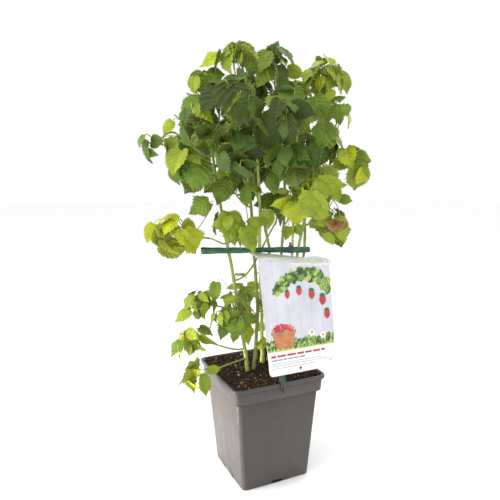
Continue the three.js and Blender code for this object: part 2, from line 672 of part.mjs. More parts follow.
// The leaves of a mass: fronds are tried one after another, smaller as room runs out. One that
// keeps only its end leaflet is taken up late.
function frondsOf(mass, limbPoints) {
  const roll = seededDice(mass.seed);
  const placed = [];
  const fronds = [];
  const wanted = Math.round(mass.fronds * FULLNESS);
  const tries = wanted * TRIES;
  for (let attempt = 0; attempt < tries && fronds.length < wanted; attempt++) {
    const size = 1 - (0.4 * attempt) / tries;
    const made = frond(mass, roll, size, limbPoints, placed);
    if (!made || (made.leaves.length === 1 && attempt < tries * FULL_SHARE)) continue;
    fronds.push(made);
    placed.push(routeMarks(made.route), ...made.leaves.map(bladeMarks));
  }
  return fronds;
}

function massOfLeaves(name, limbPoints) {
  const mass = MASSES[name];
  const pieces = [stalk(mass.stem, STALK_RADIUS * 1.5, STALK_RADIUS * 1.1, 4)];
  pieces.push(...frondsOf(mass, limbPoints).map(frondSolid));
  const fused = wasm.Manifold.union(pieces);
  return named(name, geometryOf(largestBody(fused)), byHand(TINTS.leaf, 0.55));
}

// Every limb and every mass's stem, as short straight lengths to keep clear of.
function limbLengths() {
  const lengths = [];
  const add = (curve, radiusAt, owner) => {
    const steps = 12;
    for (let i = 0; i < steps; i++) {
      const from = curve.getPointAt(i / steps);
      const to = curve.getPointAt((i + 1) / steps);
      lengths.push({ from, to, radius: radiusAt(i / steps), owner });
    }
  };
  for (const { curve, radiusAt } of Object.values(limbs)) add(curve, radiusAt, null);
  for (const mass of Object.values(MASSES)) add(mass.stem, () => STALK_RADIUS * 1.5, mass);
  return lengths;
}

// ---- band, label and clips ----

function bandHalf(name, side) {
  const inner = BAND_INSIDE / 2;
  const outer = inner + BAND_THICK;
  const turnRound = side < 0;
  const line = new THREE.Shape();
  if (turnRound) {
    line.moveTo(BAND_LEFT, 0);
    line.absarc(BAND_LEFT + outer, 0, outer, Math.PI, 1.5 * Math.PI, false);
    line.lineTo(BAND_RIGHT - outer, -outer);
    line.absarc(BAND_RIGHT - outer, 0, outer, 1.5 * Math.PI, 2 * Math.PI, false);
    line.lineTo(BAND_RIGHT - BAND_THICK, 0);
    line.absarc(BAND_RIGHT - outer, 0, inner, 0, -0.5 * Math.PI, true);
    line.lineTo(BAND_LEFT + outer, -inner);
    line.absarc(BAND_LEFT + outer, 0, inner, 1.5 * Math.PI, Math.PI, true);
  } else {
    line.moveTo(BAND_LEFT, GAP);
    line.lineTo(BAND_LEFT + BAND_THICK, GAP);
    line.lineTo(BAND_LEFT + outer, inner);
    line.lineTo(BAND_RIGHT - outer, inner);
    line.lineTo(BAND_RIGHT - BAND_THICK, GAP);
    line.lineTo(BAND_RIGHT, GAP);
    line.lineTo(BAND_RIGHT - outer, outer);
    line.lineTo(BAND_LEFT + outer, outer);
  }
  const strip = new THREE.ExtrudeGeometry(line, {
    depth: BAND_HEIGHT,
    bevelEnabled: false,
    curveSegments: 4,
  });
  strip.translate(0, 0, BAND_LEVEL - BAND_HEIGHT / 2);
  return named(name, strip, byHand(TINTS.band, 0.5));
}

const cardLean = (share) => CARD_LEAN + CARD_TWIST * share;

// How far back the face of the band is, at a place across the pot.
function bandFront(x) {
  const out = BAND_INSIDE / 2 + BAND_THICK + CARD_THICK + 2 * GAP;
  return x * Math.tan(FAN_TURN) - out / Math.cos(FAN_TURN);
}

// A place on the card: `across` from its middle, `along` from its foot, `out` through its
// thickness. Past its fold it runs back level until it meets the band, so its far edge is skewed.
function cardPlace(across, along, out) {
  const share = across / CARD_WIDTH;
  const lean = cardLean(share);
  const foldStart = CARD_FOLD_START + CARD_FOLD_SKEW * share;
  const foldRadius = CARD_FOLD_RADIUS * (1 - share);
  const straight = Math.min(along, foldStart);
  const turned = THREE.MathUtils.clamp((along - foldStart) / foldRadius, 0, CARD_FOLD_ANGLE);
  const end = lean + turned;
  const back = straight * Math.sin(lean) + foldRadius * (Math.cos(lean) - Math.cos(end));
  const up = straight * Math.cos(lean) + foldRadius * (Math.sin(end) - Math.sin(lean));
  const foldEnd = foldStart + foldRadius * CARD_FOLD_ANGLE;
  const flat = Math.max(0, along - foldEnd) / (CARD_LENGTH - foldEnd);
  const flap = flat * Math.max(2, bandFront(CARD_MIDDLE + across) - CARD_FRONT - back);
  return new THREE.Vector3(
    CARD_MIDDLE + across,
    CARD_FRONT + back + flap - out * Math.cos(end),
    CARD_FOOT + up + flap / Math.tan(end) + out * Math.sin(end),
  );
}

function label() {
  const card = new THREE.BoxGeometry(CARD_WIDTH, CARD_THICK, CARD_LENGTH, 3, 1, 12);
  const place = card.getAttribute("position");
  const half = CARD_WIDTH / 2;
  for (let i = 0; i < place.count; i++) {
    const across = place.getX(i);
    const along = place.getZ(i) + CARD_LENGTH / 2;
    const endwise = Math.min(along, CARD_LENGTH - along);
    const corner = Math.abs(across) > half - 1 && endwise < 1;
    const inward = corner ? 3 : 0;
    const spot = cardPlace(
      across - Math.sign(across) * inward,
      along + (along < 1 ? inward : -inward) * (corner ? 1 : 0),
      -place.getY(i),
    );
    place.setXYZ(i, spot.x, spot.y, spot.z);
  }
  return named("label_card", card, byHand(TINTS.card, 0.35));
}

// Rim clip: it straddles the rim, and its back plate carries the foot of the card.
const CLIP_WIDTH = 17;
const CLIP_MIDDLE = 0;
const CLIP_THICK = 2.2;
const CLIP_INSIDE = -(RIM_WIDTH / 2 - LIP_OUT - WALL - 1.2);
const CLIP_INNER_FOOT = 189;
const CLIP_PRONGS = [
  { from: -8.5, to: -2.2, foot: 193 },
  { from: -0.6, to: 8.5, foot: 182 },
];

function rimClip() {
  const front = (-RIM_WIDTH / 2) * (1 + SIDE_BULGE) - GAP;
  const top = POT_HEIGHT + GAP;
  const back = cardPlace(CLIP_MIDDLE - CARD_MIDDLE, 0, -CARD_THICK / 2 - GAP);
  const backTop = cardPlace(CLIP_MIDDLE - CARD_MIDDLE, 24, -CARD_THICK / 2 - GAP);
  const side = new THREE.Shape([
    new THREE.Vector2(front - CLIP_THICK, CLIP_PRONGS[1].foot),
    new THREE.Vector2(front, CLIP_PRONGS[1].foot),
    new THREE.Vector2(front, top),
    new THREE.Vector2(CLIP_INSIDE, top),
    new THREE.Vector2(CLIP_INSIDE, CLIP_INNER_FOOT + 2),
    new THREE.Vector2(CLIP_INSIDE + CLIP_THICK, CLIP_INNER_FOOT),
    new THREE.Vector2(CLIP_INSIDE + CLIP_THICK, top + CLIP_THICK),
    new THREE.Vector2(back.y + CLIP_THICK, top + CLIP_THICK + 2),
    new THREE.Vector2(backTop.y + CLIP_THICK * 0.6, backTop.z),
    new THREE.Vector2(backTop.y, backTop.z),
    new THREE.Vector2(back.y, back.z),
    new THREE.Vector2(front, back.z - 3),
    new THREE.Vector2(front - CLIP_THICK, top + 1),
  ]);
  const clip = new THREE.ExtrudeGeometry(side, { depth: CLIP_WIDTH, bevelEnabled: false });
  clip.applyMatrix4(
    new THREE.Matrix4().set(0, 0, 1, CLIP_MIDDLE - CLIP_WIDTH / 2, 1, 0, 0, 0, 0, 1, 0, 0, 0, 0, 0, 1),
  );
  let cut = solidOf(clip);
  const [short, long] = CLIP_PRONGS;
  for (const [from, to, low, high] of [
    [short.to, long.from, 170, top - 1],
    [short.from - 1, short.to + 0.1, 170, short.foot],
  ]) {
    const slot = new THREE.BoxGeometry(to - from, CLIP_THICK + 2, high - low);
    slot.translate((from + to) / 2, front - CLIP_THICK / 2 - 0.5, (low + high) / 2);
    cut = cut.subtract(solidOf(slot));
  }
  return named("rim_clip", geometryOf(cut), byHand(TINTS.clip, 0.5));
}

// Card clip: a small peg with a knob that holds the card's fold to the band.
function cardClip() {
  const front = -BAND_INSIDE / 2 - BAND_THICK - GAP;
  const peg = new THREE.BoxGeometry(8, 3, 14);
  peg.translate(56, front - 1.5, BAND_LEVEL + 2);
  const knob = new THREE.CylinderGeometry(1.9, 1.6, 7, 8);
  knob.rotateX(Math.PI / 2);
  knob.translate(55, front - 1.9, BAND_LEVEL + 11);
  return named("card_clip", geometryOf(solidOf(peg).add(solidOf(knob))), byHand(TINTS.clip, 0.5));
}

// ---- the whole ----

const root = new THREE.Group();
const plant = new THREE.Group();
plant.rotation.z = FAN_TURN;
for (const name of Object.keys(CANES)) plant.add(cane(name));
for (const name of Object.keys(BOUGHS)) plant.add(bough(name));
for (const mass of Object.values(MASSES)) mass.stem = massStem(mass);
const limbPoints = limbLengths();
for (const name of Object.keys(MASSES)) plant.add(massOfLeaves(name, limbPoints));
plant.add(bandHalf("band_front", -1));
plant.add(bandHalf("band_back", 1));
plant.add(cardClip());
const feet = Object.keys(CANES).map((name) => limbs[name].foot);
root.add(pot(), soil(feet), label(), rimClip(), plant);

export default root;
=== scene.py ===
# A raspberry in a square nursery pot, dressed: pleated, toothed leaves on arching stalks, ridged
# canes, a moulded pot of bark soil, the tie band with its knot, and the plant label with its clips.
# The growth rule and the sizes of the small parts are in millimetres; every mesh is made in metres.
import math
from math import pi, radians, sqrt

import bpy
import numpy as np
from mathutils import Matrix, Vector, noise
from numpy.linalg import norm
from numpy.random import default_rng


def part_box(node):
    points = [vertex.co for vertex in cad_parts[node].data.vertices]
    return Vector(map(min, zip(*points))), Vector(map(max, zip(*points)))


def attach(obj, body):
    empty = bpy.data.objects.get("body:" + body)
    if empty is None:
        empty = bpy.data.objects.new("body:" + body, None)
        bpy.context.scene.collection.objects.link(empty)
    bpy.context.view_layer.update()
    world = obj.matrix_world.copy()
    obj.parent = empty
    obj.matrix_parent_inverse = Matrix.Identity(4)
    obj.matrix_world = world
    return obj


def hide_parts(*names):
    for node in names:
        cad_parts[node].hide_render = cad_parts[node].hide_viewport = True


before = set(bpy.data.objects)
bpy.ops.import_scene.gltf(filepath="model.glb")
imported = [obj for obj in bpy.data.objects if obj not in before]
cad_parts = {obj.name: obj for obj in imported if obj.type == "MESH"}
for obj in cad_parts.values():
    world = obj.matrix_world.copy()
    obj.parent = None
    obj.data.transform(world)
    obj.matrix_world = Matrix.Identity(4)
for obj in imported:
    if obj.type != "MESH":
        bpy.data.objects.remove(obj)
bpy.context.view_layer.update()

MM = 0.001

# Pot, with its widths across the flat sides.
POT_HEIGHT = 200
RIM_WIDTH = 180
LIP_HEIGHT = 7
LIP_OUT = 3.5
COLLAR_HEIGHT = 30
COLLAR_STEP = 5.5
COLLAR_TAPER = 1.5
BASE_WIDTH = 134
WALL = 1.6
FLOOR = 3
CORNER_SHARE = 0.12
SIDE_BULGE = 0.012
DRAIN_WIDTH = 20
DRAIN_HEIGHT = 5
FOOT_ARCH = 1.5

# Soil.
SOIL_TOP = POT_HEIGHT - 3.6
SOIL_LUMPS = 4.2

# The fan of canes is turned this far from the pot's front, clockwise from above.
FAN_TURN = radians(-24)

# Tie band.
GAP = 0.3
BAND_HEIGHT = 7
BAND_THICK = 1.2
BAND_LEVEL = 421
BAND_LEFT = -107
BAND_RIGHT = 92
BAND_INSIDE = 6.8

# Plant label.
CARD_WIDTH = 134
CARD_LENGTH = 236
CARD_THICK = 0.8
CARD_MIDDLE = 43
CARD_FOOT = 214
CARD_FRONT = -88.5
CARD_LEAN = radians(10.5)
CARD_TWIST = radians(-4.6)
CARD_FOLD_START = 192
CARD_FOLD_SKEW = -12
CARD_FOLD_RADIUS = 8
CARD_FOLD_ANGLE = radians(74)

# The canes: foot, place across in the tie band, tip, sideways swing below and above the band, and
# half thickness at foot and tip.
CANES = {
    "left_cane": ((-24, -21), -57, (-90, 4, 655), (2, -2), (3.6, 2)),
    "middle_cane": ((-14, -16), -12, (-34, -20, 650), (8, 5), (3.5, 1.9)),
    "bright_cane": ((4, 18), 0, (-14, -24, 668), (1, 6), (3.7, 2)),
    "olive_cane": ((15, 28), 40, (34, 12, 668), (2, 9), (3.1, 1.7)),
    "rear_cane": ((-8, 38), 19, (-34, 84, 640), (-8, 2), (3.3, 1.8)),
    "upright_cane": ((27, 36), 60, (72, 34, 640), (3, -2), (3, 1.7)),
    "right_cane": ((27, 12), 70, (118, -24, 640), (2, -1), (3.3, 1.8)),
    "crossing_cane": ((20, 47), 82, (50, 78, 640), (8, 12), (3, 1.7)),
}
PINCH_FLAT = 24
PINCH = 72
FOOT_FLARE = 0.3
FLARE_HEIGHT = 9

# The boughs: the cane that bears each, the height it leaves at, its tip, how far it arches and its
# half thickness at foot and tip.
BOUGHS = {
    "low_side_bough": ("left_cane", 366, (30, 30, 466), -4, (1.9, 1.4)),
    "low_right_bough": ("right_cane", 466, (112, -6, 524), -4, (1.9, 1.3)),
    "low_left_bough": ("left_cane", 434, (-92, -18, 446), 3, (1.6, 1.2)),
    "left_arm": ("left_cane", 590, (-146, -14, 630), 4, (1.8, 1.2)),
    "right_arm": ("right_cane", 560, (142, -22, 580), 2, (1.8, 1.3)),
}

# Each mass of leaves keeps to an ellipsoid round its middle. One without a height grows on from its
# limb's end. Its tone is partly painted light: a low tone is the deep green that paints the crown's
# shade, a high one a young yellow green that also paints light shining through the outer leaves.
MASS_PARTS = ("on", "height", "middle", "reach", "fronds", "leaf", "seed", "tone")
MASS_ROWS = {
    "top_tip": ("bright_cane", None, (-30, -22, 748), (58, 52, 46), 3, 58, 12, 3.3),
    "top_fold": ("olive_cane", None, (24, -18, 742), (50, 46, 44), 2, 66, 20, 2.2),
    "top_right": ("right_cane", None, (106, -20, 714), (60, 60, 52), 5, 44, 8, 3.5),
    "top_left": ("left_cane", None, (-104, -6, 716), (56, 62, 50), 4, 54, 11, 2.5),
    "top_back": ("rear_cane", None, (-20, 78, 712), (68, 56, 46), 5, 58, 21, 2.0),
    "top_back_right": ("crossing_cane", None, (62, 70, 700), (58, 58, 50), 5, 52, 23, 2.4),
    "front_upper": ("bright_cane", 636, (-46, -92, 668), (62, 52, 56), 4, 76, 28, 1.2),
    "front_right": ("olive_cane", 610, (40, -90, 650), (60, 52, 56), 4, 70, 30, 0.9),
    "front_left": ("left_cane", 606, (-96, -64, 634), (54, 50, 52), 4, 60, 34, 1.7),
    "front_low": ("middle_cane", 570, (-30, -84, 588), (62, 54, 44), 4, 62, 35, 1.2),
    "front_low_right": ("olive_cane", 548, (50, -74, 574), (54, 50, 46), 4, 62, 41, 1.3),
    "heart": ("middle_cane", None, (-2, 4, 690), (50, 46, 48), 4, 58, 44, 1.0),
    "inner_low": ("middle_cane", 540, (-2, 16, 586), (52, 44, 46), 3, 56, 52, 1.0),
    "right_shoulder": ("right_cane", 606, (142, -10, 660), (52, 58, 52), 4, 50, 55, 3.0),
    "right_group": ("right_arm", None, (160, -26, 572), (52, 56, 46), 4, 58, 54, 4.1),
    "right_drape": ("right_cane", 540, (92, -72, 534), (46, 46, 62), 3, 72, 60, 3.3),
    "right_back": ("upright_cane", None, (116, 64, 606), (60, 62, 56), 5, 58, 63, 1.9),
    "back_right": ("crossing_cane", 600, (58, 124, 622), (62, 54, 58), 5, 62, 71, 1.6),
    "back_left": ("rear_cane", 600, (-62, 122, 624), (64, 54, 58), 5, 62, 76, 1.6),
    "left_back": ("left_cane", 560, (-116, 58, 616), (56, 62, 56), 5, 58, 79, 1.9),
    "back_low": ("rear_cane", 540, (-8, 104, 548), (66, 56, 46), 4, 60, 83, 1.8),
    "left_shoulder": ("left_cane", 622, (-146, -20, 660), (42, 46, 42), 3, 46, 93, 2.7),
    "left_tip": ("left_arm", None, (-184, -18, 606), (38, 42, 44), 3, 44, 92, 2.9),
    "left_hang": ("left_cane", 556, (-120, -46, 566), (48, 48, 56), 3, 66, 101, 2.4),
    "left_low": ("middle_cane", 500, (-62, 24, 548), (46, 50, 44), 3, 58, 102, 1.9),
    "right_low": ("crossing_cane", 514, (92, 30, 552), (52, 52, 46), 3, 58, 104, 2.5),
    "mid_fan_left": ("left_cane", 452, (-62, -32, 474), (42, 44, 36), 3, 56, 111, 2.9),
    "mid_fan": ("middle_cane", 438, (-18, -46, 452), (36, 40, 38), 2, 54, 119, 3.4),
    "mid_behind": ("low_side_bough", None, (30, 26, 502), (44, 42, 40), 2, 56, 119, 2.8),
    "core": ("bright_cane", 588, (4, -42, 626), (46, 44, 50), 4, 54, 165, 0.9),
    "mid_right_fan": ("olive_cane", 468, (60, -26, 512), (42, 42, 46), 3, 54, 177, 3.3),
    "low_left_leaf": ("low_left_bough", None, (-140, -38, 456), (66, 50, 54), 4, 56, 129, 4.4),
    "low_right_leaf": ("low_right_bough", None, (128, -10, 466), (48, 48, 56), 4, 50, 140, 2.9),
    "foot_left_high": ("left_cane", 316, (-104, -22, 328), (48, 46, 38), 3, 46, 141, 2.9),
    "foot_middle": ("middle_cane", 300, (-50, -40, 312), (58, 46, 60), 5, 46, 144, 2.8),
    "foot_left_low": ("left_cane", 240, (-116, -40, 268), (58, 44, 34), 3, 46, 154, 3.0),
    "foot_over_rim": ("left_cane", 222, (-110, -78, 214), (42, 40, 46), 1, 66, 160, 3.7),
    "foot_back": ("rear_cane", 290, (-30, 84, 310), (54, 46, 48), 2, 52, 161, 2.6),
}
MASSES = {name: dict(zip(MASS_PARTS, row)) for name, row in MASS_ROWS.items()}
CROWN_MIDDLE = np.array([0.0, 0.0, 640.0])
OUTWARD = 0.7
TRIES = 90
SIZES = (1, 0.6)
FULL_SHARE = 0.7
FULLNESS = 1.05
REACH_SHARE = 1.1
CELL_MARGIN = 0.04
LIMB_CLEAR = 4
LIMB_LENGTHS = 12
NEAR_LIMB = 40
NEAR_LEAF = 10
POT_CLEAR = 2
CARD_CLEAR = 3
# A leaflet's width to its length, and how it droops, folds and arches.
LEAF_WIDTH = (0.78, 0.92)
LEAF_DROOP = (0.5, 1.15)
LEAF_FOLD = (0.02, 0.2)
LEAF_ARCH = (0.25, 0.7)
# A compound leaf: how far it hangs and swings, its length, and its pair's turn and size.
LEAF_HANG = (0.5, 1.1)
LEAF_SWING = (-0.35, 0.35)
LEAF_LENGTH = (0.9, 1.12)
PAIR_TURN = (1.15, 1.45)
PAIR_SIZE = (0.68, 0.82)
PAIR_TILT = 0.2
STEM_PART = (0.5, 0.98)
BLADE_NECK = 5
BLADE_MIDDLE = 0.45
PAIR_BACK = 0.34
STALK_RADIUS = 1.1
STEM_RADIUS = 1.5 * STALK_RADIUS
LEAF_CLEAR = 6
STALK_CLEAR = 4.5

# The joints up a cane, each turned from the last, and the new shoots at some of them.
JOINT_SPACING = 46
JOINT_TURN = 2.4
SHOOT_SHARE = 0.55
SHOOT_LOWEST = 18
SHOOT_CLEAR = 2.5
SHOOT_TALL = (12, 34)
SHOOT_LEAF = (15, 29)
SHOOT_STAND = (0.2, 0.9)
SHOOT_TURN = 1.2
SHOOT_NECK = 1.6
SHOOT_PAIR = 0.72
PAIR_AT = 0.8

# A second round of smaller leaves fills the masses between those of the first.
LEAF_DEPTHS = (0.35, 0.72)
STALK_ARCH = 0.5
FILL_ARCH = 0.3
DRESSED_ARCH = 0.66
FILL_SEED = 500
FILL_FULLNESS = 3.8
FILL_FULLNESS_OUTER = 1.5
FILL_FULL_SHARE = 0.5
# Some masses are held in: their leaves keep to this share of their reach, and hang this far aside.
HELD_IN = {
    "top_tip": (0.84, 3),
    "top_fold": (0.84, -2),
    "top_right": (0.82, -2),
    "top_left": (0.76, 12),
    "left_shoulder": (0.64, 24),
    "right_shoulder": (0.76, -14),
    "left_hang": (0.8, 4),
    "low_left_leaf": (0.86, -6),
    "foot_left_high": (0.92, 0),
}
OUTER_MASSES = {
    "left_tip", "right_group", "low_left_leaf", "low_right_leaf", "top_tip", "top_fold", "mid_fan",
    "mid_fan_left", "foot_left_low", "foot_over_rim",
}
FILL_TRIES = 36
FILL_SIZES = (0.82, 0.45)
FILL_DEPTHS = (0.1, 0.72)
FILL_REACH = 1.12
FILL_REACH_OUTER = 0.72
FILL_TALL = 615
FILL_TAPER_FROM = 690
FILL_LEFT = -134
FILL_RIGHT = 156
CROWN_HEART = np.array([0.0, 0.0, 650.0])
CROWN_HEART_SPAN = np.array([132.0, 108.0, 122.0])
FOOT_TOP = 340
FILL_CLEAR = 3.6
FILL_STALK_CLEAR = 1.6
FILL_LIMB_CLEAR = 1.5

# Single leaves that reach out between the masses: the mass whose stem bears each, its middle, the
# way that it points, its length and its tone.
REACHING_LEAVES = [
    ("top_tip", (-80, -20, 750), (-0.92, -0.23, -0.32), 44, "bright"),
    ("top_fold", (26, -10, 762), (0.4, -0.22, 0.89), 44, "dark"),
    ("top_fold", (63, 0, 732), (0.87, -0.31, -0.37), 34, "fresh"),
    ("top_right", (146, -20, 711), (0.39, -0.28, -0.88), 38, "fresh"),
    ("front_right", (97, -62, 660), (0.24, -0.24, -0.94), 54, "mid"),
    ("front_right", (76, -58, 650), (-0.2, -0.3, -0.93), 46, "mid"),
    ("front_low_right", (34, -54, 580), (-0.25, -0.3, -0.92), 46, "fresh"),
    ("left_shoulder", (-116, -34, 676), (-0.9, -0.23, -0.36), 44, "mid"),
    ("left_shoulder", (-158, -20, 640), (-0.58, -0.24, -0.78), 30, "fresh"),
    ("left_tip", (-152, -25, 606), (-0.28, -0.23, -0.93), 38, "fresh"),
    ("low_left_leaf", (-105, -40, 503), (-0.87, -0.22, -0.44), 44, "mid"),
    ("low_left_leaf", (-194, -24, 457), (-0.4, -0.22, -0.89), 38, "lime"),
    ("mid_fan", (-24, -40, 518), (0.19, -0.24, -0.95), 30, "mid"),
    ("mid_fan", (14, -30, 480), (0.1, -0.24, -0.97), 34, "fresh"),
    ("mid_right_fan", (48, -25, 455), (-0.19, -0.24, -0.95), 25, "fresh"),
    ("mid_right_fan", (69, -25, 458), (0.28, -0.23, -0.93), 24, "mid"),
    ("low_right_leaf", (156, 0, 511), (0.94, -0.24, -0.24), 26, "mid"),
    ("low_right_leaf", (135, -16, 522), (0.58, -0.24, -0.78), 32, "fresh"),
    ("inner_low", (24, -50, 541), (0.19, -0.24, -0.95), 36, "mid"),
    ("core", (0, -62, 634), (-0.2, -0.3, -0.93), 56, "dark"),
    ("core", (-26, -54, 610), (0.35, -0.3, -0.88), 50, "deep"),
    ("core", (-20, -46, 650), (0.15, -0.3, -0.94), 52, "dark"),
    ("inner_low", (17, -48, 592), (-0.2, -0.3, -0.93), 46, "mid"),
    ("right_drape", (107, -44, 622), (-0.25, -0.3, -0.92), 50, "mid"),
    ("right_drape", (98, -46, 586), (0.2, -0.3, -0.93), 48, "dark"),
    ("heart", (36, -40, 716), (0.25, -0.3, -0.92), 50, "dark"),
    ("heart", (8, -36, 722), (-0.5, -0.3, -0.8), 46, "mid"),
    ("left_low", (-66, -20, 528), (-0.3, -0.3, -0.9), 48, "mid"),
    ("foot_left_high", (-138, -50, 314), (-0.8, -0.2, -0.56), 36, "fresh"),
    ("foot_left_low", (-149, -70, 261), (-0.54, -0.23, -0.81), 34, "mid"),
    ("foot_middle", (-80, -40, 353), (-0.14, -0.24, -0.96), 38, "mid"),
    ("foot_middle", (-67, -40, 283), (-0.32, -0.23, -0.92), 38, "mid"),
    ("foot_middle", (-24, -30, 272), (0.14, -0.24, -0.96), 40, "fresh"),
    ("mid_fan_left", (-47, -40, 451), (0.14, -0.24, -0.96), 32, "fresh"),
]

# The masses whose leaves are joined in one piece.
REGIONS = {
    "leaves_top": ("top_tip", "top_fold", "top_right", "top_left", "heart"),
    "leaves_top_back": ("top_back", "top_back_right", "back_right", "back_left"),
    "leaves_front": ("front_upper", "front_right", "front_left", "front_low", "front_low_right"),
    "leaves_inner": ("inner_low", "core", "left_low", "right_low", "back_low"),
    "leaves_right": ("right_shoulder", "right_group", "right_drape", "right_back"),
    "leaves_left": ("left_back", "left_shoulder", "left_tip", "left_hang"),
    "leaves_middle": (
        "mid_fan_left", "mid_fan", "mid_behind", "mid_right_fan", "low_left_leaf", "low_right_leaf",
    ),
    "leaves_foot": ("foot_left_high", "foot_middle", "foot_left_low", "foot_over_rim", "foot_back"),
}

# Leaf tones from the painted shade of the crown out to the youngest leaves, whose yellow green also
# paints light shining through them: upper side and underside.
LEAF_TONES = {
    "deep": ("#37471a", "#586a3b"),
    "dark": ("#4b6325", "#6a7c40"),
    "mid": ("#667f2b", "#82934b"),
    "fresh": ("#84962c", "#96a44c"),
    "bright": ("#9aa628", "#a6b04a"),
    "lime": ("#a6ab1c", "#b0b440"),
}
TONE_NAMES = list(LEAF_TONES)
TONE_SPREAD = 0.62
# Filling leaves are dealt tones this much darker, as painted shade among the first leaves.
FILL_PAINTED_SHADE = 0.35

UP = np.array([0.0, 0.0, 1.0])


# ---- places and directions ----


def unit(way):
    return way / sqrt(way.dot(way))


def crossed(a, b):
    """The cross product of two single directions."""
    return np.array(
        [a[1] * b[2] - a[2] * b[1], a[2] * b[0] - a[0] * b[2], a[0] * b[1] - a[1] * b[0]]
    )


def smooth_between(value, low, high):
    share = np.clip((value - low) / (high - low), 0, 1)
    return share * share * (3 - 2 * share)


def turned_places(places, angle):
    """Places turned about the vertical through the origin."""
    cos, sin = math.cos(angle), math.sin(angle)
    x, y, z = places[..., 0], places[..., 1], places[..., 2]
    return np.stack([x * cos - y * sin, x * sin + y * cos, z], axis=-1)


def seeded_dice(seed):
    state = (seed * 2654435761) & 0xFFFFFFFF

    def roll(low, high):
        nonlocal state
        state = (state * 1664525 + 1013904223) & 0xFFFFFFFF
        return low + ((high - low) * state) / 4294967296

    return roll


class Route:
    """A curve on which a share of its length can be found."""

    def __init__(self, place_at):
        self.place_at = place_at
        self.steps = np.linspace(0, 1, 201)
        lengths = norm(np.diff(place_at(self.steps), axis=0), axis=1)
        self.reach = np.concatenate([[0], np.cumsum(lengths)])
        self.length = self.reach[-1]

    def even(self, shares):
        return np.interp(np.atleast_1d(shares) * self.length, self.reach, self.steps)

    def at(self, shares):
        return self.place_at(self.even(shares))

    def heading_at(self, shares):
        middle = self.even(shares)
        ahead = self.place_at(np.clip(middle + 0.0001, 0, 1))
        behind = self.place_at(np.clip(middle - 0.0001, 0, 1))
        way = ahead - behind
        return way / norm(way, axis=1, keepdims=True)


def bezier(*corners):
    """A curve drawn by three or four corners."""
    corners = np.array(corners)
    degree = len(corners) - 1
    counts = [math.comb(degree, k) for k in range(degree + 1)]

    def place_at(shares):
        t = np.atleast_1d(shares)[:, None]
        return sum(
            counts[k] * (1 - t) ** (degree - k) * t**k * corners[k] for k in range(degree + 1)
        )

    return Route(place_at)


def cane_route(foot, tie, tip, bow):
    start = SOIL_TOP + GAP

    def place_at(shares):
        z = start + (tip[2] - start) * np.atleast_1d(shares)
        below = z < BAND_LEVEL
        low = np.where(below, SOIL_TOP, BAND_LEVEL)
        high = np.where(below, BAND_LEVEL, tip[2])
        part = (z - low) / (high - low)
        swing = np.where(below, bow[0], bow[1]) * np.sin(pi * part)
        x = np.where(below, foot[0] + (tie - foot[0]) * part, tie + (tip[0] - tie) * part)
        ease = smooth_between(np.abs(z - BAND_LEVEL), PINCH_FLAT, PINCH)
        y = np.where(below, foot[1] * (1 - part), tip[1] * part)
        return np.stack([x + swing, y * ease, z], axis=-1)

    return Route(place_at)


# ---- limbs ----

LIMBS = {}


def add_limb(name, route, radius_at):
    LIMBS[name] = {
        "route": route,
        "radius_at": radius_at,
        "end": route.at(1)[0],
        "heading": route.heading_at(1)[0],
        "joint_offset": default_rng(100 + len(LIMBS)).uniform(0, JOINT_SPACING),
    }


def grow_cane(name, foot, tie, tip, bow, thick):
    tall = tip[2] - SOIL_TOP
    thick_foot, thick_tip = thick

    def radius_at(share):
        flare = 1 + FOOT_FLARE * np.exp(-share * tall / FLARE_HEIGHT)
        return (thick_foot + (thick_tip - thick_foot) * share) * flare

    add_limb(name, cane_route(foot, tie, tip, bow), radius_at)


def grow_bough(name, bearer, height, tip, rise, thick):
    thick_foot, thick_tip = thick
    route = side_route(bearer, height, np.array(tip, float), rise)
    add_limb(name, route, lambda share: thick_foot + (thick_tip - thick_foot) * share)


def seat_on(limb_name, height):
    limb = LIMBS[limb_name]
    low, high = 0.0, 1.0
    for _ in range(24):
        share = (low + high) / 2
        if limb["route"].at(share)[0][2] < height:
            low = share
        else:
            high = share
    centre = limb["route"].at(low)[0]
    return centre, limb["radius_at"](low), limb["route"].heading_at(low)[0]


def side_route(limb_name, height, goal, rise):
    """A route that leaves a limb squarely at its side and ends at a goal."""
    centre, radius, along = seat_on(limb_name, height)
    out = goal - centre
    out = unit(out - along * out.dot(along))
    start = centre + out * (radius + 1.3 * GAP)
    reach = norm(start - goal)
    leave = start + out * 0.25 * reach
    arrive = start + (goal - start) * 0.62 + UP * rise
    return bezier(start, leave, arrive, goal)


def mass_stem(mass):
    goal = np.array(mass["middle"], float)
    if mass["height"]:
        return side_route(mass["on"], mass["height"], goal, 0)
    limb = LIMBS[mass["on"]]
    start = limb["end"] + limb["heading"] * GAP
    leave = start + limb["heading"] * 0.3 * norm(start - goal)
    return bezier(start, leave, goal)


# ---- the rule that grows the leaves ----


def blade_outline(share):
    """The share of a blade's greatest half width at a share of its length."""
    return np.power(share, 0.45) * np.power(1 - share, 0.85) / 0.432


def blade_places(leaf, shares, sides):
    """Places of a blade: shares run along its midrib, sides from one edge to the other."""
    half = leaf["width"] / 2 * blade_outline(shares) * np.abs(sides)
    return blade_at(leaf, shares, half * np.sign(sides), np.abs(sides), 0.0)


def blade_at(leaf, shares, across, edge, lift):
    """Places of a blade, a distance across from its midrib and lifted off its even surface."""
    length = leaf["length"]
    angle = leaf["droop"] * shares
    along = length * np.sin(angle) / leaf["droop"]
    down = length * (1 - np.cos(angle)) / leaf["droop"]
    half = np.abs(across)
    lobe = 0.1 * length * edge * np.power(1 - shares, 4)
    rise = leaf["fold"] * half - leaf["arch"] * half * half / leaf["width"] + lift
    slope = np.outer(np.cos(angle), leaf["normal"]) + np.outer(np.sin(angle), leaf["heading"])
    return (
        leaf["base"]
        + np.outer(along - lobe, leaf["heading"])
        - np.outer(down, leaf["normal"])
        + np.outer(across, leaf["across"])
        + slope * rise[:, None]
    )


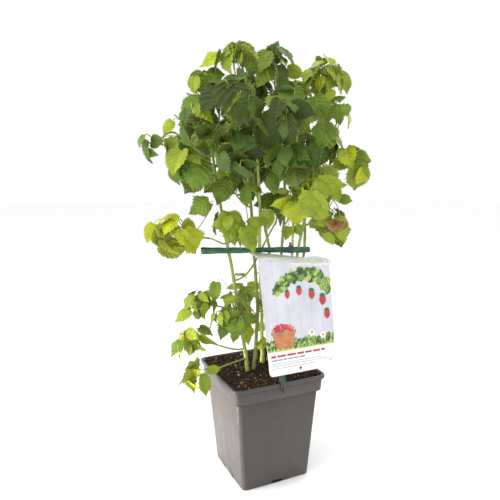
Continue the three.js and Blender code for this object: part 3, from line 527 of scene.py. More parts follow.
def leaf_of(side, base, heading, normal, length, roll):
    flat = unit(normal - heading * normal.dot(heading))
    return {
        "side": side,
        "base": base,
        "heading": heading,
        "normal": flat,
        "across": crossed(flat, heading),
        "length": length,
        "width": length * roll(*LEAF_WIDTH),
        "droop": roll(*LEAF_DROOP),
        "fold": roll(*LEAF_FOLD),
        "arch": roll(*LEAF_ARCH),
    }


MARK_SHARES = np.array([1.0] + [share for share in (0.3, 0.45, 0.6, 0.75, 0.9) for _ in range(5)])
MARK_SIDES = np.array([0.0] + [-1, -0.5, 0, 0.5, 1] * 5)
ROUTE_TESTS = np.array([0.25, 0.35, 0.45, 0.55, 0.65, 0.75, 0.85, 0.95])
ROUTE_MARKS = np.array([0.3, 0.42, 0.54, 0.66, 0.78, 0.9])


def blade_marks(leaf):
    return blade_places(leaf, MARK_SHARES, MARK_SIDES)


def depth_in(mass, places):
    """How far places lie from a mass's middle, where 1 is the edge of its space."""
    return norm((places - mass["centre"]) / mass["span"], axis=-1) / REACH_SHARE


def keeps_to_space(places, mass, leaves_stem, filling):
    """Whether places lie in a mass's own space, and clear of limbs, pot and label."""
    own = depth_in(mass, places)
    limit = 1.0
    if filling:
        away = (places - CROWN_HEART) / CROWN_HEART_SPAN
        low = places[:, 2] < FOOT_TOP
        limit = np.where(low | ((away * away).sum(-1) < 1), FILL_REACH, FILL_REACH_OUTER)
        taper = np.maximum(0, places[:, 2] - FILL_TAPER_FROM)
        aside = (places[:, 0] < FILL_LEFT + 0.5 * taper) | (places[:, 0] > FILL_RIGHT - 0.2 * taper)
        if (aside & (places[:, 2] > FILL_TALL)).any():
            return False
    if (own > limit).any():
        return False
    if not filling and len(mass["other_centres"]):
        away = (places[:, None, :] - mass["other_centres"]) / mass["other_spans"]
        if (np.sqrt((away * away).sum(-1)) < (own + CELL_MARGIN)[:, None]).any():
            return False
    start, along, square, radius = mass["other_limbs" if leaves_stem else "limbs"]
    if len(start):
        away = places[:, None, :] - start
        share = np.minimum(np.maximum((away * along).sum(-1) / square, 0), 1)
        away -= share[..., None] * along
        clear = radius + (FILL_LIMB_CLEAR if filling else LIMB_CLEAR)
        if ((away * away).sum(-1) < clear * clear).any():
            return False
    return clear_of_pot(places) and clear_of_card(places)


def clear_of_pot(places):
    spot = turned_places(places, FAN_TURN)
    half = RIM_WIDTH / 2 + POT_CLEAR
    inside = (np.abs(spot[:, 0]) < half) & (np.abs(spot[:, 1]) < half)
    low = inside & (places[:, 2] < POT_HEIGHT + SOIL_LUMPS)
    return not (low | (places[:, 2] <= 1)).any()


def clear_of_card(places):
    """Whether places are clear of the tie band and of the label, in front of it and just behind it."""
    by_band = (np.abs(places[:, 2] - BAND_LEVEL) < BAND_HEIGHT / 2 + CARD_CLEAR) & (np.abs(places[:, 1]) < 8)
    by_band &= (places[:, 0] > BAND_LEFT - CARD_CLEAR) & (places[:, 0] < BAND_RIGHT + CARD_CLEAR)
    spot = turned_places(places, FAN_TURN)
    share = (spot[:, 0] - CARD_MIDDLE) / CARD_WIDTH
    beside = np.abs(share) > 0.5 + CARD_CLEAR / CARD_WIDTH
    beyond = (spot[:, 2] < CARD_FOOT - CARD_CLEAR) | (spot[:, 2] > BAND_LEVEL + 10)
    face = CARD_FRONT + (spot[:, 2] - CARD_FOOT) * np.tan(card_lean(share))
    hides = spot[:, 1] < face + 5
    between = (spot[:, 2] >= BAND_LEVEL - 28) & (spot[:, 1] <= band_front(spot[:, 0]) + 10)
    return not (by_band | (~beside & ~beyond & (hides | between))).any()


def far_from(marks, placed, apart):
    if not len(placed):
        return True
    near = placed[
        (placed > marks.min(0) - apart).all(1) & (placed < marks.max(0) + apart).all(1)
    ]
    if not len(near):
        return True
    return ((marks[:, None, :] - near) ** 2).sum(-1).min() > apart * apart


def way_out(mass, roll):
    out = unit((mass["centre"] - CROWN_MIDDLE) * np.array([1, 1, 0.6]))
    rise = roll(-1, 1)
    turn = roll(0, 2 * pi)
    level = sqrt(1 - rise * rise)
    way = np.array([level * math.cos(turn), level * math.sin(turn), rise])
    return unit(way + out * OUTWARD)


def frond(mass, roll, size, placed, filling=False):
    """One compound leaf: a stalk arching over to an end leaflet, with a pair further back.

    None when its end leaflet or its stalk has no room.
    """
    leaf_clear = FILL_CLEAR if filling else LEAF_CLEAR
    way = way_out(mass, roll)
    depth = roll(*(FILL_DEPTHS if filling else LEAF_DEPTHS))
    normal = unit(way + UP * 0.5)
    fall = np.array([way[0] * 0.6, way[1] * 0.6, -roll(*LEAF_HANG)])
    fall = fall + np.array([roll(*LEAF_SWING), roll(*LEAF_SWING), 0])
    heading = unit(fall - normal * fall.dot(normal))
    length = mass["leaf"] * size * roll(*LEAF_LENGTH)
    base = mass["centre"] + way * mass["span"] * depth - heading * BLADE_MIDDLE * length
    start = mass["stem"].at(roll(*STEM_PART))[0]
    tip = leaf_of(0, base, heading, normal, length, roll)
    draws = []
    for _ in range(2):
        draws.append([roll(*PAIR_TURN), roll(*PAIR_SIZE)] + [roll(0, 1) for _ in range(4)])
    marks = blade_marks(tip)
    if not keeps_to_space(marks, mass, False, filling) or not far_from(marks, placed, leaf_clear):
        return None
    arch = FILL_ARCH if filling else STALK_ARCH
    bend = base - heading * arch * norm(start - base)
    route = bezier(start, bend, base)
    tests = route.at(ROUTE_TESTS)
    stalk_clear = FILL_STALK_CLEAR if filling else STALK_CLEAR
    if not far_from(tests, placed, stalk_clear) or not keeps_to_space(tests, mass, True, filling):
        return None
    node = max(0.4, 1 - PAIR_BACK * length / route.length)
    leaves = [tip]
    sofar = np.concatenate([placed, marks])
    for side, (turn, share, *shape) in zip((1, -1), draws):
        turned = heading * math.cos(turn) + tip["across"] * math.sin(side * turn)
        tilted = tip["normal"] + tip["across"] * side * PAIR_TILT
        root = route.at(node)[0] + turned * BLADE_NECK
        shapes = iter(shape)

        def shape_of(low, high):
            return low + (high - low) * next(shapes)

        leaf = leaf_of(side, root, turned, tilted, length * share, shape_of)
        marks = blade_marks(leaf)
        if keeps_to_space(marks, mass, False, filling) and far_from(marks, sofar, leaf_clear):
            leaves.append(leaf)
            sofar = np.concatenate([sofar, marks])
    corners = (start, bend, base)
    return {"route": route, "node": node, "leaves": leaves, "corners": corners, "filling": filling}


def held_in(made, mass, share, aside):
    """The same compound leaf, a little nearer to its mass's middle, on a stalk that arches less."""
    start, bend, base = made["corners"]
    shift = (mass["centre"] - base) * (1 - share) + np.array([aside, 0, 0])
    size = (1 + share) / 2
    leaves = []
    for leaf in made["leaves"]:
        smaller = {key: leaf[key] * size for key in ("length", "width")}
        leaves.append(leaf | smaller | {"base": leaf["base"] + shift})
    route = bezier(start, base + DRESSED_ARCH * (bend - base) + 0.6 * shift, base + shift)
    return made | {"route": route, "leaves": leaves}


def marks_of(made):
    return np.concatenate([made["route"].at(ROUTE_MARKS), *map(blade_marks, made["leaves"])])


def fronds_of(mass, seed, fullness, tries_each, sizes, full_share, near, filling=False):
    """A round of compound leaves; a single leaflet will only do late in it."""
    roll = seeded_dice(seed)
    wanted = int(mass["fronds"] * fullness + 0.5)
    tries = wanted * tries_each
    fronds = []
    for attempt in range(tries):
        if len(fronds) >= wanted:
            break
        size = sizes[0] + (sizes[1] - sizes[0]) * attempt / tries
        made = frond(mass, roll, size, near, filling)
        if made is None or (len(made["leaves"]) < 2 and attempt < tries * full_share):
            continue
        fronds.append(made)
        near = np.concatenate([near, marks_of(made)])
    return fronds


def first_fronds(mass):
    """The leaves that the construction carries, one for one."""
    return fronds_of(mass, mass["seed"], FULLNESS, TRIES, SIZES, FULL_SHARE, np.zeros((0, 3)))


def filling_fronds(name, mass, placed):
    """Smaller leaves on finer stalks, between those of this mass and of its neighbours."""
    reach = mass["span"].max() * REACH_SHARE * FILL_REACH + NEAR_LEAF
    near = placed[(np.abs(placed - mass["centre"]) < reach).all(1)]
    fullness = FILL_FULLNESS_OUTER if name in OUTER_MASSES else FILL_FULLNESS
    seed = mass["seed"] + FILL_SEED
    fronds = fronds_of(mass, seed, fullness, FILL_TRIES, FILL_SIZES, FILL_FULL_SHARE, near, True)
    return fronds, np.concatenate([placed, *map(marks_of, fronds)])


def young_shoots(limb, chance, placed):
    """Short stalks with a small new leaf, each from a joint of a cane."""
    length = limb["route"].length
    shoots = []
    for number in range(int((length - limb["joint_offset"]) / JOINT_SPACING)):
        along = limb["joint_offset"] + number * JOINT_SPACING
        tall, blade = chance.uniform(*SHOOT_TALL), chance.uniform(*SHOOT_LEAF)
        stand = chance.uniform(*SHOOT_STAND)
        if along < SHOOT_LOWEST or chance.uniform() > SHOOT_SHARE:
            continue
        centre = limb["route"].at(along / length)[0]
        way = limb["route"].heading_at(along / length)[0]
        out = joint_way(way, number)
        start = centre + out * limb["radius_at"](along / length) * 0.9
        goal = start + (out + way * stand) * tall
        route = bezier(start, start + out * tall * 0.5, goal)
        heading = unit(out + UP * chance.uniform(-0.7, 0.5))
        normal = unit(UP + out * chance.uniform(-0.2, 0.8) + chance.normal(0, 0.2, 3))

        def shape(low, high):
            return chance.uniform(low, high)

        tip = leaf_of(0, goal, heading, normal, blade, shape)
        leaves = [tip]
        for side in (1, -1):
            turned = heading * math.cos(SHOOT_TURN) + tip["across"] * math.sin(side * SHOOT_TURN)
            root = route.at(PAIR_AT)[0] + turned * SHOOT_NECK
            leaves.append(leaf_of(side, root, turned, tip["normal"], blade * SHOOT_PAIR, shape))
        made = {"route": route, "node": PAIR_AT, "leaves": leaves}
        marks = marks_of(made)
        if clear_of_pot(marks) and clear_of_card(marks) and far_from(marks, placed, SHOOT_CLEAR):
            shoots.append(made)
            placed = np.concatenate([placed, marks])
    return shoots, placed


def reaching_leaf(mass_name, middle, heading, length, tone):
    """A single leaf on a stalk of its own, at a chosen place."""
    heading = unit(np.array(heading))
    base = np.array(middle, float) - heading * BLADE_MIDDLE * length
    facing = unit(np.array([0.15 * heading[0], -1.0, 0.55]))

    def shape(low, high):
        return low + (high - low) * 0.35

    stem = MASSES[mass_name]["stem"]
    start = stem.at(0.55)[0]
    bend = base - heading * 0.4 * norm(start - base)
    leaf = leaf_of(0, base, heading, facing, length, shape)
    route = bezier(start, bend, base)
    return {"route": route, "node": PAIR_AT, "leaves": [leaf], "tone": TONE_NAMES.index(tone)}


def joint_way(way, number):
    """The direction out of a limb in which the bud of one of its joints points."""
    side = unit(np.array([1.0, 0, 0]) - way * way[0])
    turn = number * JOINT_TURN
    return side * math.cos(turn) + crossed(way, side) * math.sin(turn)


def near_lengths(mass, lengths):
    """The limb lengths that lie near enough a mass's space to matter to it."""
    reach = mass["span"].max() * REACH_SHARE + NEAR_LIMB
    kept = [
        length
        for length in lengths
        if norm((length[0] + length[1]) / 2 - mass["centre"]) < reach
    ]
    if not kept:
        return np.zeros((0, 3)), np.zeros((0, 3)), np.zeros(0), np.zeros(0)
    start = np.array([length[0] for length in kept])
    along = np.array([length[1] for length in kept]) - start
    radius = np.array([length[2] for length in kept])
    return start, along, (along * along).sum(-1), radius


def grow_plant():
    """Grows the limbs and the leaves of every mass."""
    for name, cane in CANES.items():
        grow_cane(name, *cane)
    for name, bough in BOUGHS.items():
        grow_bough(name, *bough)
    shares = np.linspace(0, 1, LIMB_LENGTHS + 1)
    lengths = []
    for limb in LIMBS.values():
        places = limb["route"].at(shares)
        for i in range(LIMB_LENGTHS):
            lengths.append((places[i], places[i + 1], limb["radius_at"](shares[i]), None))
    for name, mass in MASSES.items():
        mass["centre"] = np.array(mass["middle"], float)
        mass["span"] = np.array(mass["reach"], float)
        mass["stem"] = mass_stem(mass)
        mass["reaching"] = []
        places = mass["stem"].at(shares)
        for i in range(LIMB_LENGTHS):
            lengths.append((places[i], places[i + 1], STEM_RADIUS, name))
    for name, mass in MASSES.items():
        mass["limbs"] = near_lengths(mass, lengths)
        mass["other_limbs"] = near_lengths(mass, [n for n in lengths if n[3] != name])
        others = [
            other
            for other in MASSES.values()
            if other is not mass
            and norm(other["centre"] - mass["centre"])
            < (other["span"].max() + mass["span"].max()) * REACH_SHARE * 1.1
        ]
        mass["other_centres"] = np.array([other["centre"] for other in others])
        mass["other_spans"] = np.array([other["span"] * REACH_SHARE for other in others])
    placed = np.zeros((0, 3))
    for name, mass in MASSES.items():
        grown = first_fronds(mass)
        held = HELD_IN.get(name, (1, 0))
        mass["grown"] = [held_in(made, mass, *held) for made in grown]
        placed = np.concatenate([placed, *map(marks_of, mass["grown"])])
    for name, mass in MASSES.items():
        mass["fillers"], placed = filling_fronds(name, mass, placed)
    for mass_name, *rest in REACHING_LEAVES:
        MASSES[mass_name]["reaching"].append(reaching_leaf(mass_name, *rest))
    for number, name in enumerate(CANES):
        shoots, placed = young_shoots(LIMBS[name], default_rng(300 + number), placed)
        LIMBS[name]["shoots"] = shoots


# ---- meshes from arrays ----


def new_object(name, data):
    made = bpy.data.objects.new(name, data)
    bpy.context.scene.collection.objects.link(made)
    return made


def piece_from_arrays(name, places, face_sets, values=None):
    """A mesh object from places in millimetres and sets of faces, each face a row of corners."""
    mesh = bpy.data.meshes.new(name)
    mesh.vertices.add(len(places))
    mesh.vertices.foreach_set("co", (places * MM).astype(np.float32).ravel())
    corners = np.concatenate([faces.ravel() for faces in face_sets]).astype(np.int32)
    sizes = np.concatenate([np.full(len(faces), faces.shape[1]) for faces in face_sets])
    mesh.loops.add(len(corners))
    mesh.loops.foreach_set("vertex_index", corners)
    mesh.polygons.add(len(sizes))
    starts = np.concatenate([[0], np.cumsum(sizes)[:-1]]).astype(np.int32)
    mesh.polygons.foreach_set("loop_start", starts)
    mesh.update(calc_edges=True)
    for key, data in (values or {}).items():
        layer = mesh.attributes.new(key, "FLOAT", "POINT")
        layer.data.foreach_set("value", data.astype(np.float32))
    return new_object(name, mesh)


def move_to(piece, places):
    """Moves a piece's corners to places in millimetres."""
    piece.data.vertices.foreach_set("co", (places * MM).astype(np.float32).ravel())
    piece.data.update()


class Joined:
    """Many small closed shapes gathered into one mesh."""

    def __init__(self):
        self.places = []
        self.quads = []
        self.triangles = []
        self.quad_finish = []
        self.triangle_finish = []
        self.values = {}
        self.count = 0

    def add(self, places, quads, triangles, quad_finish=0, triangle_finish=0, **values):
        self.places.append(places)
        self.quads.append(quads + self.count)
        self.triangles.append(triangles + self.count)
        self.quad_finish.append(np.broadcast_to(quad_finish, len(quads)))
        self.triangle_finish.append(np.broadcast_to(triangle_finish, len(triangles)))
        for key, value in values.items():
            self.values.setdefault(key, []).append(np.broadcast_to(value, len(places)))
        self.count += len(places)

    def piece(self, name, finishes, angle, on_plant=True):
        places = np.concatenate(self.places)
        if on_plant:
            places = turned_places(places, FAN_TURN)
        values = {key: np.concatenate(parts) for key, parts in self.values.items()}
        faces = [np.concatenate(self.quads), np.concatenate(self.triangles)]
        made = piece_from_arrays(name, places, faces, values)
        for finish in finishes:
            made.data.materials.append(finish)
        finish_of = np.concatenate(self.quad_finish + self.triangle_finish).astype(np.int32)
        made.data.polygons.foreach_set("material_index", finish_of)
        smooth(made, angle)
        return made


def smooth(piece, angle):
    alone(piece)
    bpy.ops.object.shade_smooth_by_angle(angle=radians(angle))


def deselect_all():
    bpy.ops.object.select_all(action="DESELECT")


def edit_mode():
    bpy.ops.object.mode_set(mode="EDIT")


def object_mode():
    bpy.ops.object.mode_set(mode="OBJECT")


def alone(piece):
    """Selects one piece and nothing else."""
    deselect_all()
    piece.select_set(True)
    bpy.context.view_layer.objects.active = piece


def wall(near, far):
    """The quads between rings of corners."""
    return np.stack([near, np.roll(near, -1, -1), np.roll(far, -1, -1), far], axis=-1).reshape(-1, 4)


def fan(middle, ring, turned=False):
    """The triangles from a middle corner to a ring of corners."""
    onward = np.roll(ring, -1)
    pair = (onward, ring) if turned else (ring, onward)
    return np.stack([np.full(len(ring), middle), *pair], axis=-1)


def tube(path, radii, sides):
    """A closed tube round a path: its places, its quads and the triangles of its two ends."""
    steps = np.gradient(path, axis=0)
    ways = steps / norm(steps, axis=1, keepdims=True)
    square = np.cross(ways[0], ways[-1])
    if norm(square) < 0.05:
        square = np.cross(ways[0], UP if abs(ways[0][2]) < 0.9 else np.array([1.0, 0, 0]))
    side = square - ways * (ways @ square)[:, None]
    side /= norm(side, axis=1, keepdims=True)
    other = np.cross(ways, side)
    angles = np.arange(sides) * 2 * pi / sides
    reach = np.asarray(radii)[:, None]
    rings = (
        path[:, None, :]
        + side[:, None, :] * (np.cos(angles) * reach)[..., None]
        + other[:, None, :] * (np.sin(angles) * reach)[..., None]
    )
    places = np.concatenate([rings.reshape(-1, 3), path[:1], path[-1:]])
    count = len(path) * sides
    grid = np.arange(count).reshape(-1, sides)
    caps = np.concatenate([fan(count, grid[0], turned=True), fan(count + 1, grid[-1])])
    return places, wall(grid[:-1], grid[1:]), caps


# ---- leaf blades ----

# A blade's rows follow its side veins, four rows to a vein, and its margin has two teeth to a vein.
VEINS = 7
ROWS = 4 * VEINS
COLUMNS = np.array([0.2, 0.42, 0.64, 0.84, 1.0])
BLADE_THICK = 0.42
TOOTH = 0.13
PLEAT = 0.02
EDGE_WAVE = 0.022
EDGE_CURL = 0.05
VEIN_SWEEP = 2.1
TEETH = np.array([1.0, -0.7, 0.35, -0.75])
PLEATS = np.array([-1.0, 0.15, 1.0, 0.15])


def blade_template():
    """Where a blade's corners lie on it, and how they join up."""
    rows = np.arange(1, ROWS)
    per_side = len(rows) * len(COLUMNS)
    midrib = np.zeros(len(rows) + 2)
    row_of = np.repeat(rows, len(COLUMNS))
    column_of = np.tile(COLUMNS, len(rows))
    row = np.concatenate([[0], rows, [ROWS], row_of, row_of])
    column = np.concatenate([midrib, column_of, column_of])
    sign = np.concatenate([midrib, np.ones(per_side), -np.ones(per_side)])
    count = len(row)
    lower = np.full(count, -1)
    inner = column < 1
    inner[[0, ROWS]] = False
    lower[inner] = count + np.arange(inner.sum())
    lower[~inner] = np.arange(count)[~inner]
    quads, triangles = [], []
    wide = len(COLUMNS)
    for side, first in ((1, ROWS + 1), (-1, ROWS + 1 + per_side)):
        grid = np.concatenate(
            [rows[:, None], first + np.arange(per_side).reshape(len(rows), wide)], axis=1
        )
        near, far = grid[:-1], grid[1:]
        sheet = np.stack([near[:, :-1], far[:, :-1], far[:, 1:], near[:, 1:]], axis=-1).reshape(-1, 4)
        base = np.stack([np.zeros(wide, int), grid[0, :-1], grid[0, 1:]], axis=-1)
        point = np.stack([np.full(wide, ROWS), grid[-1, 1:], grid[-1, :-1]], axis=-1)
        fans = np.concatenate([base, point])
        quads.append(sheet[:, ::side])
        triangles.append(fans[:, ::side])
    top_quads, top_triangles = np.concatenate(quads), np.concatenate(triangles)
    all_quads = np.concatenate([top_quads, lower[top_quads][:, ::-1]])
    all_triangles = np.concatenate([top_triangles, lower[top_triangles][:, ::-1]])
    return {
        "row": row,
        "column": column,
        "sign": sign,
        "inner": inner,
        "quads": all_quads,
        "triangles": all_triangles,
        "under_quads": np.arange(len(all_quads)) >= len(top_quads),
        "under_triangles": np.arange(len(all_triangles)) >= len(top_triangles),
    }


BLADE = blade_template()


def blade_mesh(leaf, chance):
    """A leaflet as a thin closed blade: pleated between its veins, toothed, wavy at its margin."""
    row, column, sign = BLADE["row"], BLADE["column"], BLADE["sign"]
    share_out = row / ROWS
    start = np.power(share_out, VEIN_SWEEP)
    shares = start + (share_out - start) * np.power(column, 1.1)
    half = leaf["width"] / 2 * blade_outline(share_out)
    half *= 1 - leaf["point"] * smooth_between(share_out, 0.58, 0.98)
    half *= 1 + 0.34 * leaf["lobes"] * np.exp(-(((share_out - 0.4) / 0.11) ** 2))
    half *= 1 - 0.34 * leaf["lobes"] * np.exp(-(((share_out - 0.63) / 0.08) ** 2))
    phase = row % 4
    inside = (row > 0) & (row < ROWS)
    tooth = TEETH[phase] * np.power(np.clip(1 - share_out, 0, 1), 0.25) * inside
    rim = np.where(column == 1, 1.0, np.where(column > 0.8, 0.25, 0.0))
    across = sign * column * half * (1 + TOOTH * leaf["teeth"] * tooth * rim)
    ripple = np.where(column > 0, PLEATS[phase], -0.9)
    strength = np.where(column > 0, np.minimum(1, column / 0.2) * (1 - 0.3 * column), 0.6)
    length = leaf["length"]
    lift = PLEAT * length * ripple * strength * inside * np.power(np.clip(1 - share_out, 0, 1), 0.2)
    waves = chance.uniform(0, 2 * pi, 2)
    sway = np.sin(share_out * 9 + np.where(sign > 0, waves[0], waves[1]))
    lift = lift + EDGE_WAVE * length * sway * column**2.5
    lift = lift - EDGE_CURL * length * column**3 * chance.uniform(-0.4, 1.0)
    top = blade_at(leaf, shares, across, column, lift)
    top += np.outer(0.024 * length * tooth * rim, leaf["heading"])
    angle = leaf["droop"] * shares
    slope = np.outer(np.cos(angle), leaf["normal"]) + np.outer(np.sin(angle), leaf["heading"])
    vein = np.where((phase == 0) | (column == 0), 1.0, 0.0)
    rib = np.where(column == 0, 0.9, 0.35 * vein)
    under = (top - slope * (BLADE_THICK + rib)[:, None])[BLADE["inner"]]
    return np.concatenate([top, under]), np.concatenate([vein, vein[BLADE["inner"]]])


LOBED_MASSES = {"low_left_leaf", "left_tip", "foot_left_high", "foot_left_low", "foot_middle"}


def posed(leaf, mass_name, chance):
    """A leaflet as it hangs: turned a little on its midrib, folded more or less, with its own point."""
    twist = chance.normal(0, 0.22)
    cos, sin = math.cos(twist), math.sin(twist)
    narrow = 1.0 if leaf["side"] == 0 else 0.86
    many = 0.75 if mass_name in LOBED_MASSES else 0.28
    low = mass_name.startswith("foot")
    narrow *= 0.76 if low else 0.95
    return leaf | {
        "normal": leaf["normal"] * cos + leaf["across"] * sin,
        "across": leaf["across"] * cos - leaf["normal"] * sin,
        "width": leaf["width"] * narrow * chance.uniform(0.86, 1.04),
        "fold": chance.uniform(-0.12, 0.42),
        "arch": leaf["arch"] * chance.uniform(0, 0.3 if low else 0.6),
        "droop": leaf["droop"] * (chance.uniform(0.2, 0.7) if low else chance.uniform(0.4, 1.0)),
        "point": chance.uniform(0.5, 0.75) if low else chance.uniform(0.42, 0.68),
        "teeth": 1.6 if low else 1.15,
        "lobes": chance.uniform(0.4, 1) * (leaf["side"] == 0 and chance.uniform() < many),
    }


# A leaflet's tone: its mass's tone spread at random, and darker for filling leaves as painted shade.
def tone_of(mass_name, chance, filling):
    wanted = MASSES[mass_name]["tone"] + chance.normal(0, TONE_SPREAD) - FILL_PAINTED_SHADE * filling
    return int(np.clip(round(wanted), 0, len(TONE_NAMES) - 1))


def dress_leaves():
    finishes = []
    for name, (upper, lower) in LEAF_TONES.items():
        finishes += [leaf_finish("leaf_" + name, upper), underside_finish("leaf_under_" + name, lower)]
    for region, names in REGIONS.items():
        leaves = Joined()
        for mass_name in names:
            mass = MASSES[mass_name]
            chance = default_rng(mass["seed"])
            for made in mass["grown"] + mass["fillers"]:
                tone = tone_of(mass_name, chance, made["filling"])
                for leaf in made["leaves"]:
                    add_blade(leaves, posed(leaf, mass_name, chance), tone, chance)
            for made in mass["reaching"]:
                leaf = posed(made["leaves"][0], mass_name, chance)
                add_blade(leaves, leaf, made["tone"], chance)
        dress(leaves.piece(region, finishes, angle=75), names)
    leaves = Joined()
    chance = default_rng(55)
    for name in CANES:
        for made in LIMBS[name]["shoots"]:
            tone = chance.integers(2, 5)
            for leaf in made["leaves"]:
                add_blade(leaves, posed(leaf, name, chance), tone, chance)
    dress(leaves.piece("leaves_young", finishes, angle=75))
    dress_dead_leaf()


def add_blade(leaves, leaf, tone, chance):
    places, vein = blade_mesh(leaf, chance)
    leaves.add(
        places,
        BLADE["quads"],
        BLADE["triangles"],
        2 * tone + BLADE["under_quads"],
        2 * tone + BLADE["under_triangles"],
        vein=vein,
        shade=chance.uniform(-1, 1),
    )


DEAD_LEAF_AT = np.array([135.0, -62.0, 478.0])
DEAD_LEAF_FROM = np.array([112.0, -6.0, 524.0])


def dress_dead_leaf():
    """A withered leaf, curled up on its thin stalk."""
    chance = default_rng(5)
    heading = unit(np.array([-0.15, -0.1, -1.0]))
    normal = unit(np.array([0.25, -1.0, 0.15]))
    leaf = leaf_of(0, DEAD_LEAF_AT, heading, normal, 44, lambda low, high: (low + high) / 2)
    leaf |= {"droop": 2.3, "width": 40, "fold": 0.1, "arch": 1.25, "point": 0.4, "lobes": 0.5, "teeth": 1.4}
    withered = Joined()
    finishes = [
        withered_finish("leaf_dead", "#5c3a20", "#a88250"),
        withered_finish("leaf_dead_under", "#86603a", "#c8b084"),
        stalk_finish("stalk_dead", "#8f7a48", "#7a5a3a"),
    ]
    add_blade(withered, leaf, 0, chance)
    bend = DEAD_LEAF_AT + np.array([2.0, 6.0, 36.0])
    path = bezier(DEAD_LEAF_FROM, bend, DEAD_LEAF_AT + heading * 3).at(np.linspace(0, 1, 12))
    withered.add(*tube(path, np.linspace(0.9, 0.6, 12), 6), 2, 2, vein=0.0, shade=0.0)
    dress(withered.piece("leaf_withered", finishes, angle=75))


def dress(piece, replaced=(), finish=None, angle=60):
    """Finishes a piece and puts it on the plant's body, in place of its nodes."""
    if finish:
        piece.data.materials.append(finish)
        smooth(piece, angle)
    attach(piece, "root")
    if replaced:
        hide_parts(*replaced)


# ---- stalks ----


def add_stalk(stalks, made, slim, shade):
    """The stalk of one compound leaf, with the short stalks of its pair."""
    path = made["route"].at(np.linspace(0, 1, 12))
    tip = made["leaves"][0]
    beyond = tip["base"] + tip["heading"] * 0.08 * tip["length"] - tip["normal"] * 1.0
    path = np.concatenate([path, [beyond]])
    radii = slim * np.interp(np.arange(13), [0, 1.5, 11, 12], [1.35, 1.0, 0.72, 0.3])
    stalks.add(*tube(path, radii, 6), shade=shade)
    seat = made["route"].at(made["node"])[0]
    for leaf in made["leaves"][1:]:
        middle = (seat + leaf["base"]) / 2
        beyond = leaf["base"] + leaf["heading"] * 0.08 * leaf["length"] - leaf["normal"] * 0.8
        path = np.array([seat, middle, leaf["base"], beyond])
        stalks.add(*tube(path, slim * np.array([0.85, 0.7, 0.62, 0.25]), 6), shade=shade)


def dress_stalks():
    stalks = Joined()
    for name, mass in MASSES.items():
        chance = default_rng(mass["seed"] + 40)
        path = mass["stem"].at(np.linspace(0, 1, 14))
        root = path[0] - unit(path[1] - path[0]) * 1.6
        path = np.concatenate([[root], path])
        radii = STALK_RADIUS * np.interp(np.arange(15), [0, 1, 2, 14], [2.3, 1.8, 1.5, 1.05])
        stalks.add(*tube(path, radii, 8), shade=chance.uniform(-1, 1))
        for made in mass["grown"]:
            add_stalk(stalks, made, 1.0, chance.uniform(-1, 1))
        for made in mass["fillers"] + mass["reaching"]:
            add_stalk(stalks, made, 0.8, chance.uniform(-1, 1))
    for name in CANES:
        for made in LIMBS[name]["shoots"]:
            add_stalk(stalks, made, 0.8, 0.0)
    dress(stalks.piece("stalks", [stalk_finish()], angle=80))


# ---- canes and boughs ----

CANE_TONES = {
    "green": ("#9aa852", "#78893e"),
    "olive": ("#88934a", "#6e6c38"),
    "bright": ("#b8c268", "#96a44c"),
}
OLIVE_CANES = {"middle_cane", "olive_cane", "crossing_cane"}
BRIGHT_CANES = {"bright_cane", "upright_cane"}
CANE_SIDES = 14
CANE_SUNK = 5
BOUGH_SUNK = 1.6
RIDGES = 5
RIDGE_DEPTH = 0.06
JOINT_SWELL = 0.13
BUD_HEIGHT = 1.4


def dress_limb(name, finish):
    """A limb with shallow ridges and swollen joints; a cane also has a bud at each joint."""
    limb = LIMBS[name]
    length = limb["route"].length
    steps = max(16, int(length / 3))
    deselect_all()
    bpy.ops.mesh.primitive_cylinder_add(
        vertices=CANE_SIDES, radius=1, depth=1, end_fill_type="TRIFAN"
    )
    piece = start_piece(name + "_bark")
    edit_mode()
    bpy.ops.mesh.select_mode(type="EDGE")
    bpy.ops.mesh.select_all(action="DESELECT")
    object_mode()
    for edge in piece.data.edges:
        a, b = (piece.data.vertices[k].co for k in edge.vertices)
        edge.select = abs(a.z - b.z) > 0.5
    edit_mode()
    bpy.ops.mesh.subdivide(number_cuts=steps - 1)
    object_mode()
    piece.data.polygons.foreach_set("select", np.ones(len(piece.data.polygons), bool))
    spots = np.zeros(len(piece.data.vertices) * 3, np.float32)
    piece.data.vertices.foreach_get("co", spots)
    spots = spots.reshape(-1, 3).astype(float)
    shares = np.clip(spots[:, 2] + 0.5, 0, 1)
    sunk = CANE_SUNK if name in CANES else BOUGH_SUNK
    places = limb["route"].at(shares)
    ways = limb["route"].heading_at(shares)
    places[shares < 1e-6] -= ways[shares < 1e-6] * sunk
    side = np.array([1.0, 0, 0]) - ways * ways[:, :1]
    if name not in CANES:
        side = np.cross(ways, UP)
    side /= norm(side, axis=1, keepdims=True)
    other = np.cross(ways, side)
    along = shares * length
    angle = np.arctan2(spots[:, 1], spots[:, 0])
    radius = limb["radius_at"](shares)
    joint = (along - limb["joint_offset"]) / JOINT_SPACING
    near = np.abs(joint - np.round(joint)) * JOINT_SPACING
    turn = np.round(joint) * JOINT_TURN
    swell = 1 + JOINT_SWELL * np.exp(-((near / 3.2) ** 2))
    bud = 0.55 * np.exp(-((near / 2.6) ** 2)) * np.exp(4 * (np.cos(angle - turn) - 1))
    ridges = 1 + RIDGE_DEPTH * np.cos(RIDGES * angle + along * 0.012)
    radius = radius * swell * ridges + bud * BUD_HEIGHT * (name in CANES)
    sway = 0.35 * np.sin(along * pi / JOINT_SPACING) * smooth_between(along, 0, 30)
    places = places + side * (spots[:, :1] * radius[:, None]) + other * (spots[:, 1:2] * radius[:, None])
    places = places + side * sway[:, None]
    move_to(piece, turned_places(places, FAN_TURN))
    dress(piece, [name], finish)


